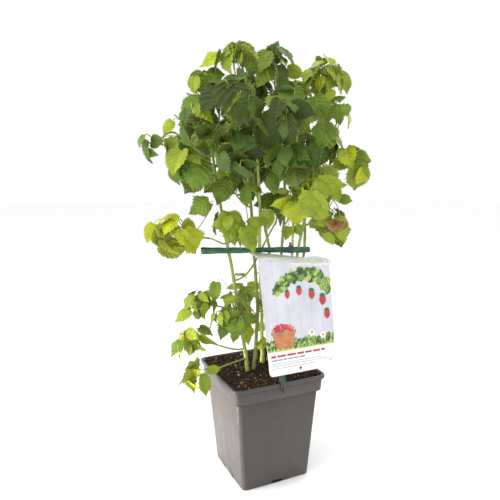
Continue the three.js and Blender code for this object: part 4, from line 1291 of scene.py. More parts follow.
def dress_limbs():
    finishes = {tone: cane_finish("cane_" + tone, *pair) for tone, pair in CANE_TONES.items()}
    for name in LIMBS:
        tone = "olive" if name in OLIVE_CANES else "bright" if name in BRIGHT_CANES else "green"
        dress_limb(name, finishes[tone])


BRISTLES_PER_CANE = 90


def dress_bristles():
    """Short soft prickles on the canes."""
    bristles = Joined()
    chance = default_rng(9)
    for name in CANES:
        limb = LIMBS[name]
        for _ in range(BRISTLES_PER_CANE):
            share = chance.uniform(0.03, 0.97)
            place = limb["route"].at(share)[0]
            way = limb["route"].heading_at(share)[0]
            out = chance.normal(size=3)
            out = unit(out - way * out.dot(way))
            foot = place + out * limb["radius_at"](share) * 0.9
            tall = chance.uniform(0.9, 1.7)
            tip = foot + out * tall - way * tall * 0.35
            middle = (foot + tip) / 2 + way * 0.1
            path = np.array([foot, middle, tip])
            bristles.add(*tube(path, np.array([0.3, 0.16, 0.04]), 3), shade=0.0)
    finish = stalk_finish("bristle", "#8a8a50", "#7a5a3c")
    dress(bristles.piece("cane_bristles", [finish], angle=80))


# ---- materials ----


def colour(text):
    """A screen colour such as #40602a as the linear colour that a shader takes."""
    parts = [int(text[i : i + 2], 16) / 255 for i in (1, 3, 5)]
    return tuple(p / 12.92 if p <= 0.04045 else ((p + 0.055) / 1.055) ** 2.4 for p in parts) + (1,)


def socket_name(key):
    """A shader's socket for a plain key, such as base_color."""
    return key.replace("_", " ").title().replace("Ior", "IOR")


class Finish:
    """A material being mixed: its shader, and short ways to add a node to it."""

    def __init__(self, name, roughness, shine, **fixed):
        self.material = bpy.data.materials.new(name)
        self.material.use_nodes = True
        self.tree = self.material.node_tree
        self.shader = self.tree.nodes["Principled BSDF"]
        fixed |= {"roughness": roughness, "specular_ior_level": shine}
        for key, value in fixed.items():
            self.shader.inputs[socket_name(key)].default_value = value
        self.spot = self.tree.nodes.new("ShaderNodeTexCoord").outputs["Object"]

    def node(self, kind, inputs=(), **settings):
        made = self.tree.nodes.new("ShaderNode" + kind)
        for key, value in settings.items():
            setattr(made, key, value)
        for key, value in dict(inputs).items():
            self.feed(made.inputs[key], value)
        return made

    def feed(self, socket, value):
        """Links a value that comes from a node, and sets a plain one."""
        if isinstance(value, bpy.types.NodeSocket):
            self.tree.links.new(value, socket)
        else:
            socket.default_value = value

    def stretched(self, x, y, z):
        return self.node("Mapping", {"Vector": self.spot, "Scale": (x, y, z)}).outputs["Vector"]

    def grain(self, scale, detail=3.0, vector=None, roughness=0.55):
        made = self.node(
            "TexNoise",
            {"Vector": vector or self.spot, "Scale": scale, "Detail": detail, "Roughness": roughness},
        )
        return made.outputs["Fac"]

    def cells(self, scale, vector=None, feature="F1"):
        made = self.node("TexVoronoi", {"Vector": vector or self.spot, "Scale": scale}, feature=feature)
        return made.outputs["Distance"]

    def ramp(self, value, *stops):
        made = self.node("ValToRGB", {"Fac": value})
        points = made.color_ramp.elements
        while len(points) < len(stops):
            points.new(0.5)
        for point, (place, shade) in zip(points, stops):
            point.position = place
            point.color = colour(shade) if isinstance(shade, str) else (shade, shade, shade, 1)
        return made.outputs["Color"]

    def blend(self, share, low, high, kind="MIX"):
        made = self.node("Mix", data_type="RGBA", blend_type=kind)
        for socket, value in ((0, share), (6, low), (7, high)):
            self.feed(made.inputs[socket], colour(value) if isinstance(value, str) else value)
        return made.outputs[2]

    def mottled(self, scale, detail, low, high, stops=(0.3, 0.7), **grain):
        """Two tones in soft patches."""
        patches = self.grain(scale, detail, **grain)
        return self.blend(self.ramp(patches, (stops[0], 0.0), (stops[1], 1.0)), low, high)

    def reckon(self, first, second, operation):
        return self.node("Math", {0: first, 1: second}, operation=operation).outputs[0]

    def attribute(self, name):
        return self.node("Attribute", attribute_name=name).outputs["Fac"]

    def relief(self, height, depth, strength=1.0, below=None):
        inputs = {"Height": height, "Distance": depth, "Strength": strength}
        if below is not None:
            inputs["Normal"] = below
        return self.node("Bump", inputs).outputs["Normal"]

    def put(self, **sockets):
        for key, socket in sockets.items():
            self.tree.links.new(socket, self.shader.inputs[socket_name(key)])
        return self.material


def leaf_finish(name, tone):
    """The upper side of a leaf: quilted between fine veins, paler along them, with a soft shine."""
    mix = Finish(name, 0.55, 0.22)
    body = mix.mottled(55, 4, scaled(tone, 0.84), scaled(tone, 1.13))
    body = mix.blend(mix.ramp(mix.attribute("shade"), (0.0, 0.0), (1.0, 0.5)), body, warmed(tone, 1.2))
    vein = mix.reckon(mix.attribute("vein"), 3.0, "POWER")
    body = mix.blend(mix.reckon(vein, 0.2, "MULTIPLY"), body, warmed(tone, 1.35))
    normal = mix.relief(mix.cells(520, feature="SMOOTH_F1"), 0.0006, 0.55)
    normal = mix.relief(mix.grain(1900, 2), 0.00012, 0.3, normal)
    rough = mix.ramp(mix.grain(160, 3), (0.3, 0.42), (0.7, 0.62))
    return mix.put(base_color=body, roughness=rough, normal=normal)


def underside_finish(name, tone):
    """The underside of a leaf: downy, greyer, with raised pale veins."""
    mix = Finish(name, 0.8, 0.15)
    body = mix.mottled(60, 4, scaled(tone, 0.88), scaled(tone, 1.1))
    vein = mix.reckon(mix.attribute("vein"), 3.0, "POWER")
    body = mix.blend(mix.reckon(vein, 0.35, "MULTIPLY"), body, warmed(tone, 1.3))
    normal = mix.relief(mix.cells(520, feature="DISTANCE_TO_EDGE"), 0.0004, 0.4)
    normal = mix.relief(mix.grain(2400, 2), 0.00015, 0.5, normal)
    return mix.put(base_color=body, normal=normal)


def withered_finish(name, low, high):
    """Dry leaf: tan with brown blotches, crinkled all over."""
    mix = Finish(name, 0.85, 0.15)
    body = mix.mottled(70, 5, low, high, (0.36, 0.62), roughness=0.7)
    body = mix.blend(mix.ramp(mix.attribute("vein"), (0.6, 0.0), (1.0, 0.5)), body, scaled(low, 0.8))
    return mix.put(base_color=body, normal=mix.relief(mix.cells(330), 0.0012, 0.8))


def scaled(text, share):
    """A screen colour made lighter or darker."""
    parts = [min(255, int(int(text[i : i + 2], 16) * share)) for i in (1, 3, 5)]
    return "#" + "".join(f"{p:02x}" for p in parts)


def warmed(text, share):
    """A screen colour made lighter and a little yellower."""
    parts = [int(text[i : i + 2], 16) * share * tint for i, tint in ((1, 1.05), (3, 1.0), (5, 0.86))]
    return "#" + "".join(f"{min(255, int(p)):02x}" for p in parts)


def stalk_finish(name="stalk", tone="#8c9a48", blush="#8a6a44"):
    mix = Finish(name, 0.5, 0.4)
    body = mix.blend(mix.ramp(mix.grain(26, 3), (0.5, 0.0), (0.72, 0.7)), tone, blush)
    body = mix.blend(mix.ramp(mix.grain(320, 2), (0.4, 0.0), (0.7, 0.4)), body, scaled(tone, 1.25))
    return mix.put(base_color=body, normal=mix.relief(mix.grain(900, 2), 0.0001, 0.5))


def cane_finish(name, tone, shadow):
    """Young bark: long pale streaks, darker patches, and a waxy skin."""
    mix = Finish(name, 0.42, 0.45)
    streaks = mix.grain(900, 3, mix.stretched(1, 1, 0.05))
    patches = mix.grain(22, 4, mix.stretched(1, 1, 0.6))
    body = mix.blend(mix.ramp(patches, (0.38, 0.0), (0.62, 1.0)), shadow, tone)
    body = mix.blend(mix.ramp(streaks, (0.45, 0.0), (0.7, 0.6)), body, scaled(tone, 1.22))
    flecks = mix.ramp(mix.cells(420, mix.stretched(1, 1, 0.4)), (0.0, 1.0), (0.16, 0.0))
    body = mix.blend(flecks, body, scaled(shadow, 0.72))
    normal = mix.relief(streaks, 0.00025, 0.6)
    normal = mix.relief(mix.grain(1500, 2), 0.00008, 0.4, normal)
    rough = mix.ramp(patches, (0.3, 0.36), (0.7, 0.55))
    return mix.put(base_color=body, roughness=rough, normal=normal)


def pot_finish():
    """Injection-moulded plastic: fine grain, faint flow streaks, dusty scuffs, and painted shade in the
    grooves at the collar's foot and under the lip.
    """
    mix = Finish("pot_plastic", 0.4, 0.5)
    body = mix.mottled(14, 4, "#403b39", "#494441", vector=mix.stretched(1, 1, 0.18))
    dust = mix.ramp(mix.grain(38, 6, roughness=0.7), (0.55, 0.0), (0.8, 0.16))
    body = mix.blend(dust, body, "#776f69")
    body = mix.blend(mix.ramp(mix.cells(260), (0.0, 0.5), (0.06, 0.0)), body, "#726a64")
    # Painted shade: a dark line along the groove at the collar's foot and another along the groove under the
    # lip, set by height.
    level = mix.node("SeparateXYZ", {"Vector": mix.spot}).outputs["Z"]
    for crease, reach in ((POT_HEIGHT - COLLAR_HEIGHT, 2.0), (POT_HEIGHT - LIP_HEIGHT - 1, 1.3)):
        away = mix.reckon(mix.reckon(level, crease * MM, "SUBTRACT"), 1 / (reach * MM), "MULTIPLY")
        near = mix.ramp(mix.reckon(away, away, "MULTIPLY"), (0.0, 0.8), (1.0, 0.0))
        body = mix.blend(near, body, "#1c1a19")
    normal = mix.relief(mix.grain(1500, 3), 0.0001, 0.35)
    normal = mix.relief(mix.grain(700, 2, mix.stretched(0.1, 0.1, 1.6)), 0.00008, 0.3, normal)
    rough = mix.ramp(mix.grain(30, 5), (0.3, 0.33), (0.7, 0.45))
    return mix.put(base_color=body, roughness=rough, normal=normal)


def soil_finish(name, low, high):
    mix = Finish(name, 0.95, 0.2)
    crumbs = mix.grain(300, 6, roughness=0.7)
    body = mix.blend(mix.ramp(crumbs, (0.35, 0.0), (0.68, 1.0)), low, high)
    body = mix.blend(mix.ramp(mix.cells(480), (0.05, 0.55), (0.3, 0.0)), body, scaled(low, 0.6))
    normal = mix.relief(crumbs, 0.0012, 0.8)
    normal = mix.relief(mix.grain(1500, 3), 0.0004, 0.6, normal)
    return mix.put(base_color=body, normal=normal)


def bark_chip_finish(name, low, high):
    mix = Finish(name, 0.85, 0.25)
    fibres = mix.grain(500, 4, mix.stretched(1, 0.35, 1))
    body = mix.blend(mix.ramp(fibres, (0.35, 0.0), (0.65, 1.0)), low, high)
    return mix.put(base_color=body, normal=mix.relief(fibres, 0.0005, 0.7))


def band_finish(name, tone):
    mix = Finish(name, 0.42, 0.5)
    body = mix.mottled(70, 4, scaled(tone, 0.82), scaled(tone, 1.2), (0.35, 0.7))
    dust = mix.ramp(mix.grain(180, 5, roughness=0.7), (0.55, 0.0), (0.8, 0.35))
    body = mix.blend(dust, body, "#66806c")
    normal = mix.relief(mix.grain(1800, 2), 0.0001, 0.4)
    normal = mix.relief(mix.grain(260, 2, mix.stretched(0.1, 0.1, 1)), 0.00025, 0.5, normal)
    return mix.put(base_color=body, normal=normal)


def clip_finish():
    mix = Finish("clip_plastic", 0.4, 0.5)
    body = mix.mottled(120, 4, "#2f3632", "#444b46", (0.35, 0.7))
    return mix.put(base_color=body, normal=mix.relief(mix.grain(1600, 3), 0.0001, 0.4))


def print_finish(name, tone, spread):
    """Ink on a coated card: a flat colour with the faint unevenness of print, under a gloss."""
    mix = Finish(name, 0.3, 0.5, coat_weight=0.25, coat_roughness=0.12)
    body = mix.mottled(90, 4, scaled(tone, 1 - spread), scaled(tone, 1 + spread))
    body = mix.blend(mix.ramp(mix.grain(1400, 2), (0.45, 0.0), (0.7, 0.25)), body, scaled(tone, 0.86))
    rough = mix.ramp(mix.grain(60, 3), (0.3, 0.24), (0.7, 0.38))
    return mix.put(base_color=body, roughness=rough, normal=mix.relief(mix.grain(45, 2), 0.0004, 0.25))


# ---- the pot ----


def start_piece(name):
    """Names the piece that was just added or joined."""
    piece = bpy.context.object
    piece.name = name
    return piece


def outward_profile():
    """The half widths and heights of the pot's wall, up its outside and down its inside."""
    base = BASE_WIDTH / 2
    rim = RIM_WIDTH / 2
    collar_top = rim - LIP_OUT
    collar_foot = collar_top - COLLAR_TAPER
    body_top = collar_foot - COLLAR_STEP
    step = POT_HEIGHT - COLLAR_HEIGHT
    lip = POT_HEIGHT - LIP_HEIGHT
    return [
        (base - 1.5, 0),
        (base - 0.45, 0.45),
        (base, 1.5),
        (body_top, step - 4.5),
        (body_top - 0.7, step - 2.6),
        (body_top - 0.7, step - 0.8),
        (collar_foot - 0.6, step - 0.5),
        (collar_foot, step + 0.4),
        (collar_top, lip - 2.4),
        (collar_top - 0.6, lip - 1.6),
        (collar_top - 0.6, lip - 0.5),
        (rim - 0.5, lip - 0.2),
        (rim, lip + 0.6),
        (rim, POT_HEIGHT - 1.2),
        (rim - 0.4, POT_HEIGHT - 0.35),
        (rim - 1.2, POT_HEIGHT),
        (rim - 2.3, POT_HEIGHT),
        (rim - 3, POT_HEIGHT - 0.5),
        (collar_top - WALL, POT_HEIGHT - 2.5),
        (collar_foot - WALL, step + 1),
        (body_top - WALL, step - 1),
        (base - WALL, FLOOR),
    ]


def dress_pot():
    profile = outward_profile()
    half = profile[0][0]
    deselect_all()
    bpy.ops.mesh.primitive_plane_add(size=2 * half * MM, location=(0, 0, 0))
    piece = start_piece("nursery_pot")
    edit_mode()
    bpy.ops.mesh.bevel(offset=CORNER_SHARE * half * MM, segments=9, affect="VERTICES", profile=0.5)
    mark_long_sides(piece, half * MM)
    bpy.ops.mesh.subdivide(number_cuts=5)
    bpy.ops.mesh.select_mode(type="FACE")
    bpy.ops.mesh.select_all(action="SELECT")
    draw_up(profile)
    bulge_sides(piece)
    cut_away(piece, foot_cutters())
    soften(piece, 0.35, 2, 32)
    dress(piece, ["pot"], pot_finish(), 30)


def draw_up(profile):
    """Draws the selected faces up through half widths and heights, and turns the faces outwards."""
    half, level = profile[0]
    for wider, higher in profile[1:]:
        bpy.ops.mesh.extrude_region_move(TRANSFORM_OT_translate={"value": (0, 0, (higher - level) * MM)})
        grow = wider / half
        bpy.ops.transform.resize(value=(grow, grow, 1), center_override=(0, 0, higher * MM))
        half, level = wider, higher
    bpy.ops.mesh.select_all(action="SELECT")
    bpy.ops.mesh.normals_make_consistent(inside=False)
    object_mode()


def mark_long_sides(piece, half):
    """Selects the four straight sides of the pot's plan."""
    bpy.ops.mesh.select_all(action="DESELECT")
    object_mode()
    for edge in piece.data.edges:
        a, b = (piece.data.vertices[k].co for k in edge.vertices)
        edge.select = (a - b).length > half
    edit_mode()
    bpy.ops.mesh.select_mode(type="EDGE")


def bulge_sides(piece):
    """Bows the middle of each flat side out a little, as a thin moulded wall stands."""
    flat = 1 - CORNER_SHARE
    for vertex in piece.data.vertices:
        x, y = vertex.co.x, vertex.co.y
        out, along = (x, y) if abs(x) > abs(y) else (y, x)
        share = along / max(flat * abs(out), 1e-9)
        grow = 1 + SIDE_BULGE * max(0.0, 1 - share * share)
        if abs(x) > abs(y):
            vertex.co.x = x * grow
        else:
            vertex.co.y = y * grow


def foot_cutters():
    """The drain slots, and the shallow arches between the pot's feet."""
    drains = [(face, 0, DRAIN_WIDTH) for face in (0, 2)]
    drains += [(face, side * DRAIN_WIDTH, DRAIN_WIDTH / 2) for face in (1, 3) for side in (-1, 1)]
    slots = [(*drain, 1.4, DRAIN_HEIGHT + 1.2, 9) for drain in drains]
    for face in range(4):
        for side in (-1, 1):
            slots.append((face, side * 0.3 * BASE_WIDTH, 22, -1, FOOT_ARCH, 6))
    return slots


def cut_away(piece, slots):
    cutters = []
    for face, offset, width, low, high, depth in slots:
        deselect_all()
        middle = Vector((offset, -BASE_WIDTH / 2, (low + high) / 2))
        middle.rotate(Matrix.Rotation(face * pi / 2, 3, "Z"))
        bpy.ops.mesh.primitive_cube_add(size=1, location=middle * MM, rotation=(0, 0, face * pi / 2))
        cutter = start_piece("slot_cutter")
        cutter.scale = (width * MM, 2 * depth * MM, (high - low) * MM)
        bpy.ops.object.transform_apply(location=True, rotation=True, scale=True)
        soften(cutter, 0.4, 2, 30)
        cutters.append(cutter)
    alone(cutters[0])
    for cutter in cutters:
        cutter.select_set(True)
    bpy.ops.object.join()
    cut_out(piece, bpy.context.object)


def cut_out(piece, cutter):
    """Cuts one shape out of a piece, and removes it."""
    alone(piece)
    cut = piece.modifiers.new("cut", "BOOLEAN")
    cut.object = cutter
    cut.operation = "DIFFERENCE"
    cut.solver = "EXACT"
    bpy.ops.object.modifier_apply(modifier="cut")
    bpy.data.objects.remove(cutter)


def soften(piece, width, segments, angle):
    """Rounds a piece's sharp edges."""
    alone(piece)
    rounding = piece.modifiers.new("rounding", "BEVEL")
    rounding.width = width * MM
    rounding.segments = segments
    rounding.limit_method = "ANGLE"
    rounding.angle_limit = radians(angle)
    bpy.ops.object.modifier_apply(modifier="rounding")


# ---- the soil ----

SOIL_EDGE = RIM_WIDTH / 2 - LIP_OUT - WALL - GAP
SOIL_LEVELS = [
    (BASE_WIDTH / 2 - WALL - GAP, FLOOR + GAP),
    (RIM_WIDTH / 2 - LIP_OUT - COLLAR_TAPER - COLLAR_STEP - WALL - GAP, POT_HEIGHT - COLLAR_HEIGHT - 1.3),
    (RIM_WIDTH / 2 - LIP_OUT - COLLAR_TAPER - WALL - GAP, POT_HEIGHT - COLLAR_HEIGHT + 1.3),
    (SOIL_EDGE, SOIL_TOP),
]
SOIL_CUTS = 110
SOIL_HEAP = 2.0
COARSE_LUMPS = 1.7
FINE_LUMPS = 0.9
WALL_DIP = 2.4


def soil_height(x, y):
    spot = Vector((x * 0.06, y * 0.06, 0.7))
    coarse = noise.fractal(spot, 1.0, 2.0, 5)
    fine = noise.noise(Vector((x * 0.45, y * 0.45, 3.1)))
    near_wall = smooth_between(max(abs(x), abs(y)), SOIL_EDGE - 14, SOIL_EDGE)
    return SOIL_TOP + SOIL_HEAP + COARSE_LUMPS * coarse + FINE_LUMPS * fine - WALL_DIP * near_wall


def dress_soil():
    """The filling of the pot, drawn up from its floor along the wall to its lumpy top."""
    half, level = SOIL_LEVELS[0]
    deselect_all()
    bpy.ops.mesh.primitive_grid_add(
        x_subdivisions=SOIL_CUTS,
        y_subdivisions=SOIL_CUTS,
        size=2 * half * MM,
        location=(0, 0, level * MM),
    )
    piece = start_piece("bark_soil")
    bpy.ops.object.transform_apply(location=True, rotation=True, scale=True)
    edit_mode()
    bpy.ops.mesh.select_all(action="SELECT")
    draw_up(SOIL_LEVELS)
    heights = [height for _, height in SOIL_LEVELS]
    halves = [wide for wide, _ in SOIL_LEVELS]
    for vertex in piece.data.vertices:
        x, y, z = vertex.co / MM
        edge = np.interp(z, heights, halves)
        flat = edge * (1 - CORNER_SHARE)
        out_x, out_y = abs(x) - flat, abs(y) - flat
        if out_x > 0 and out_y > 0:
            reach = math.hypot(out_x, out_y)
            square = max(out_x, out_y)
            x = math.copysign(flat + out_x * square / reach, x)
            y = math.copysign(flat + out_y * square / reach, y)
        if z > SOIL_TOP - 1:
            z = soil_height(x, y)
        vertex.co = Vector((x, y, z)) * MM
    bulge_sides(piece)
    dress(piece, ["soil"], soil_finish("soil_peat", "#1f1611", "#3d2c20"), 70)


CHIP_KINDS = {
    "chip_dark": ("#1e1611", "#362820", 0.6),
    "chip_brown": ("#3d2b1d", "#5a402b", 0.28),
    "chip_tan": ("#6b5238", "#8f734e", 0.09),
    "chip_straw": ("#a08b62", "#c4b083", 0.03),
}
CHIP_COUNT = 2200
CHIP_CORNERS = 6
FIBRE_SHARE = 0.45


def dress_bark_chips():
    """Chips and fibres of bark lying on the soil."""
    chips = Joined()
    chance = default_rng(77)
    finishes = [bark_chip_finish(name, low, high) for name, (low, high, _) in CHIP_KINDS.items()]
    odds = np.array([share for _, _, share in CHIP_KINDS.values()])
    reach = SOIL_EDGE - 5
    ring = np.arange(CHIP_CORNERS)
    high_ring = ring + CHIP_CORNERS
    sides = wall(ring, high_ring)
    caps = np.concatenate([fan(2 * CHIP_CORNERS, ring, turned=True), fan(2 * CHIP_CORNERS + 1, high_ring)])
    for _ in range(CHIP_COUNT):
        x, y = chance.uniform(-reach, reach, 2)
        kind = chance.choice(len(odds), p=odds / odds.sum())
        fibre = kind >= 2 and chance.uniform() < FIBRE_SHARE
        long = chance.uniform(6, 14) if fibre else chance.uniform(2.5, 8.5)
        wide = chance.uniform(0.5, 1.1) if fibre else long * chance.uniform(0.3, 0.7)
        thick = chance.uniform(0.4, 0.8) if fibre else chance.uniform(0.8, 2.2)
        angles = ring * 2 * pi / CHIP_CORNERS + chance.uniform(-0.3, 0.3, CHIP_CORNERS)
        rough = chance.uniform(0.75, 1.1, CHIP_CORNERS)
        outline = np.stack([np.cos(angles) * rough * long / 2, np.sin(angles) * rough * wide / 2], axis=-1)
        low = np.column_stack([outline, np.full(CHIP_CORNERS, -thick / 2)])
        high = np.column_stack([outline * chance.uniform(0.6, 0.95), np.full(CHIP_CORNERS, thick / 2)])
        ends = np.array([[0, 0, -thick * 0.45], [0, 0, thick * 0.58]])
        shape = np.concatenate([low, high, ends])
        turn = Matrix.Rotation(chance.uniform(0, 2 * pi), 3, "Z")
        tilt = Matrix.Rotation(chance.normal(0, 0.3), 3, "X")
        tilt = tilt @ Matrix.Rotation(chance.normal(0, 0.28), 3, "Y")
        shape = shape @ np.array(turn @ tilt).T
        shape += np.array([x, y, soil_height(x, y) + thick * 0.3 + chance.uniform(-0.4, 0.8)])
        chips.add(shape, sides, caps, kind, kind)
    dress(chips.piece("bark_chips", finishes, on_plant=False, angle=35))


# ---- the tie band ----

BAND_STEPS = 240
BAND_RIM = 0.3
BAND_FLARE = 1.0
BAND_SAG = 2.2


def band_path():
    """The band's middle line as a long thin loop, with its two ends round."""
    reach = BAND_INSIDE / 2 + BAND_THICK / 2
    left = BAND_LEFT + BAND_THICK / 2 + reach
    right = BAND_RIGHT - BAND_THICK / 2 - reach
    straight = right - left
    whole = 2 * straight + 2 * pi * reach
    spots = []
    for i in range(BAND_STEPS):
        go = i / BAND_STEPS * whole
        if go < straight:
            spots.append((left + go, -reach))
        elif go < straight + pi * reach:
            turn = (go - straight) / reach - pi / 2
            spots.append((right + reach * math.cos(turn), reach * math.sin(turn)))
        elif go < 2 * straight + pi * reach:
            spots.append((right - (go - straight - pi * reach), reach))
        else:
            turn = (go - 2 * straight - pi * reach) / reach + pi / 2
            spots.append((left + reach * math.cos(turn), reach * math.sin(turn)))
    return np.array(spots)


def dress_band():
    """The loop of flat strip, its edges rounded and its run a little uneven."""
    line = band_path()
    ahead = np.roll(line, -1, axis=0) - np.roll(line, 1, axis=0)
    ahead /= norm(ahead, axis=1, keepdims=True)
    out = np.stack([ahead[:, 1], -ahead[:, 0]], axis=-1)
    high, thick = BAND_HEIGHT / 2 + BAND_FLARE, BAND_THICK / 2
    rim, rib = thick - BAND_RIM, thick + 0.18
    lower = [(-rim, -high), (rim, -high), (thick, -high + BAND_RIM), (thick, -1.2), (rib, -0.8)]
    upper = [(across, -up) for across, up in reversed(lower)]
    section = np.array([*lower, *upper, (-thick, high - BAND_RIM), (-thick, -high + BAND_RIM)])
    x = line[:, 0]
    rise = 0.5 * np.sin(x * 0.06 + 1) * np.where(line[:, 1] < 0, 1, -0.7) + 0.2 * np.sin(x * 0.23)
    rise -= BAND_SAG * smooth_between(-x, 55, -BAND_LEFT) * np.where(line[:, 1] < 0, 1.0, -0.6)
    lean = 0.09 * np.sin(x * 0.045 + 0.5)
    places = []
    for (px, py), (ox, oy), dz, tilt in zip(line, out, rise, lean):
        for a, b in section:
            off = a + b * tilt
            places.append((px + ox * off, py + oy * off, BAND_LEVEL + b + dz))
    places = np.array(places)
    grid = np.arange(len(places)).reshape(BAND_STEPS, -1)
    following = np.roll(grid, -1, axis=0)
    quads = np.stack([grid, following, np.roll(following, -1, 1), np.roll(grid, -1, 1)], axis=-1)
    band = Joined()
    band.add(places, quads.reshape(-1, 4), np.zeros((0, 3), int))
    finish = band_finish("band_plastic", "#2a6046")
    dress(band.piece("tie_band", [finish], angle=40), ["band_front", "band_back"])


KNOT_AT = -1.5
TOGGLE_AT = 21.5


def dress_knot():
    """Two turns of the band's tail round both strands, drawn tight, and its toggle further on."""
    parts = []
    for place, lean, wide in ((KNOT_AT, 0.16, 1.5), (KNOT_AT + 3.4, -0.12, 1.35)):
        deselect_all()
        bpy.ops.mesh.primitive_torus_add(
            major_radius=1, minor_radius=0.22, major_segments=40, minor_segments=12
        )
        turn = start_piece("knot_turn")
        half_high = BAND_HEIGHT / 2 + 0.9
        half_deep = BAND_INSIDE / 2 + BAND_THICK + 0.6
        shape = Matrix.Diagonal((half_high, half_deep, 4.6 * wide, 1))
        stand = Matrix.Rotation(pi / 2, 4, "Y")
        place_at = Matrix.Translation((place, 0, BAND_LEVEL + 0.3))
        turn.data.transform(place_at @ Matrix.Rotation(lean, 4, "Y") @ stand @ shape)
        parts.append(turn)
    deselect_all()
    bpy.ops.mesh.primitive_cube_add(size=1)
    tail = start_piece("knot_tail")
    tail.data.transform(Matrix.Diagonal((9, 1.5, 5.2, 1)))
    front = -(BAND_INSIDE / 2 + BAND_THICK + 1.2)
    tail_at = Matrix.Translation((KNOT_AT + 1.8, front, BAND_LEVEL + 0.8))
    tail.data.transform(tail_at @ Matrix.Rotation(-0.2, 4, "Y"))
    parts.append(tail)
    deselect_all()
    bpy.ops.mesh.primitive_cylinder_add(vertices=20, radius=1, depth=1)
    toggle = start_piece("band_toggle")
    toggle.data.transform(Matrix.Diagonal((3.1, 3.4, 1.8, 1)))
    toggle.data.transform(Matrix.Rotation(pi / 2, 4, "X"))
    toggle.data.transform(Matrix.Translation((TOGGLE_AT, front + 0.2, BAND_LEVEL + 1.2)))
    parts.append(toggle)
    for part in parts:
        part.data.transform(Matrix.Rotation(FAN_TURN, 4, "Z"))
        part.data.transform(Matrix.Scale(MM, 4))
        alone(part)
    soften(tail, 0.5, 3, 30)
    soften(toggle, 0.5, 3, 30)
    for part in parts:
        part.select_set(True)
    bpy.context.view_layer.objects.active = parts[0]
    bpy.ops.object.join()
    piece = start_piece("band_knot")
    dress(piece, finish=band_finish("knot_plastic", "#254b38"), angle=40)


# ---- the label ----


def card_lean(share):
    return CARD_LEAN + CARD_TWIST * share


def band_front(x):
    """How far back the face of the band is, at a place across the pot."""
    out = BAND_INSIDE / 2 + BAND_THICK + CARD_THICK + 2 * GAP
    return x * math.tan(FAN_TURN) - out / math.cos(FAN_TURN)


def card_places(across, along, out):
    """Places on the card: across from its middle, along from its foot, out through its thickness."""
    share = across / CARD_WIDTH
    lean = card_lean(share)
    fold_start = CARD_FOLD_START + CARD_FOLD_SKEW * share
    fold_radius = CARD_FOLD_RADIUS * (1 - share)
    straight = np.minimum(along, fold_start)
    turned = np.clip((along - fold_start) / fold_radius, 0, CARD_FOLD_ANGLE)
    end = lean + turned
    back = straight * np.sin(lean) + fold_radius * (np.cos(lean) - np.cos(end))
    up = straight * np.cos(lean) + fold_radius * (np.sin(end) - np.sin(lean))
    fold_end = fold_start + fold_radius * CARD_FOLD_ANGLE
    flat = np.maximum(0, along - fold_end) / (CARD_LENGTH - fold_end)
    flap = flat * np.maximum(2, band_front(CARD_MIDDLE + across) - CARD_FRONT - back)
    return np.stack(
        [
            CARD_MIDDLE + across,
            CARD_FRONT + back + flap - out * np.cos(end),
            CARD_FOOT + up + flap / np.tan(end) + out * np.sin(end),
        ],
        axis=-1,
    )


CARD_CORNER = 7
PICTURE_FOOT = 41
HOLE_AT = (-6, 7)
HOLE_RADIUS = 2.4


def dress_card():
    """The card is cut flat with round corners and a hole, then creased in lines and bent to shape."""
    deselect_all()
    bpy.ops.mesh.primitive_plane_add(size=1)
    piece = start_piece("plant_label")
    piece.data.transform(Matrix.Diagonal((CARD_WIDTH, CARD_LENGTH, 1, 1)))
    piece.data.transform(Matrix.Translation((0, CARD_LENGTH / 2, 0)))
    edit_mode()
    bpy.ops.mesh.bevel(offset=CARD_CORNER, segments=8, affect="VERTICES")
    bpy.ops.mesh.select_all(action="SELECT")
    bpy.ops.mesh.extrude_region_move(TRANSFORM_OT_translate={"value": (0, 0, CARD_THICK)})
    bpy.ops.mesh.select_all(action="SELECT")
    bpy.ops.mesh.normals_make_consistent(inside=False)
    object_mode()
    piece.data.transform(Matrix.Translation((0, 0, -CARD_THICK / 2)))
    deselect_all()
    bpy.ops.mesh.primitive_cylinder_add(vertices=32, radius=HOLE_RADIUS, depth=6, location=(*HOLE_AT, 0))
    cut_out(piece, start_piece("hole_punch"))
    edit_mode()
    near_fold = CARD_FOLD_START - 14
    for along in [*np.arange(12, near_fold, 12.0), *np.arange(near_fold, CARD_LENGTH - 1, 1.4), PICTURE_FOOT]:
        bpy.ops.mesh.select_all(action="SELECT")
        bpy.ops.mesh.bisect(plane_co=(0, along, 0), plane_no=(0, 1, 0))
    for across in np.arange(-CARD_WIDTH / 2 + 9, CARD_WIDTH / 2 - 5, 9.0):
        bpy.ops.mesh.select_all(action="SELECT")
        bpy.ops.mesh.bisect(plane_co=(across, 0, 0), plane_no=(1, 0, 0))
    object_mode()
    finishes = [card_back_finish(), print_finish("card_white", "#f1f0ec", 0.02)]
    finishes += [wall_print_finish(), clear_flap_finish("card_flap")]
    for finish in finishes:
        piece.data.materials.append(finish)
    for face in piece.data.polygons:
        middle = face.center
        fold = CARD_FOLD_START + CARD_FOLD_SKEW * middle.x / CARD_WIDTH + 4
        if middle.y > fold:
            face.material_index = 3
        elif face.normal.z > 0.5:
            face.material_index = 2 if middle.y > PICTURE_FOOT else 1
    spots = np.array([vertex.co for vertex in piece.data.vertices])
    move_to(piece, card_places(spots[:, 0], spots[:, 1], spots[:, 2]))
    smooth(piece, 35)
    dress(piece, ["label_card"])


def card_back_finish():
    mix = Finish("card_back", 0.4, 0.5)
    body = mix.mottled(60, 4, "#dcdcd8", "#ecebe7")
    return mix.put(base_color=body, normal=mix.relief(mix.grain(900, 2), 0.00006, 0.4))


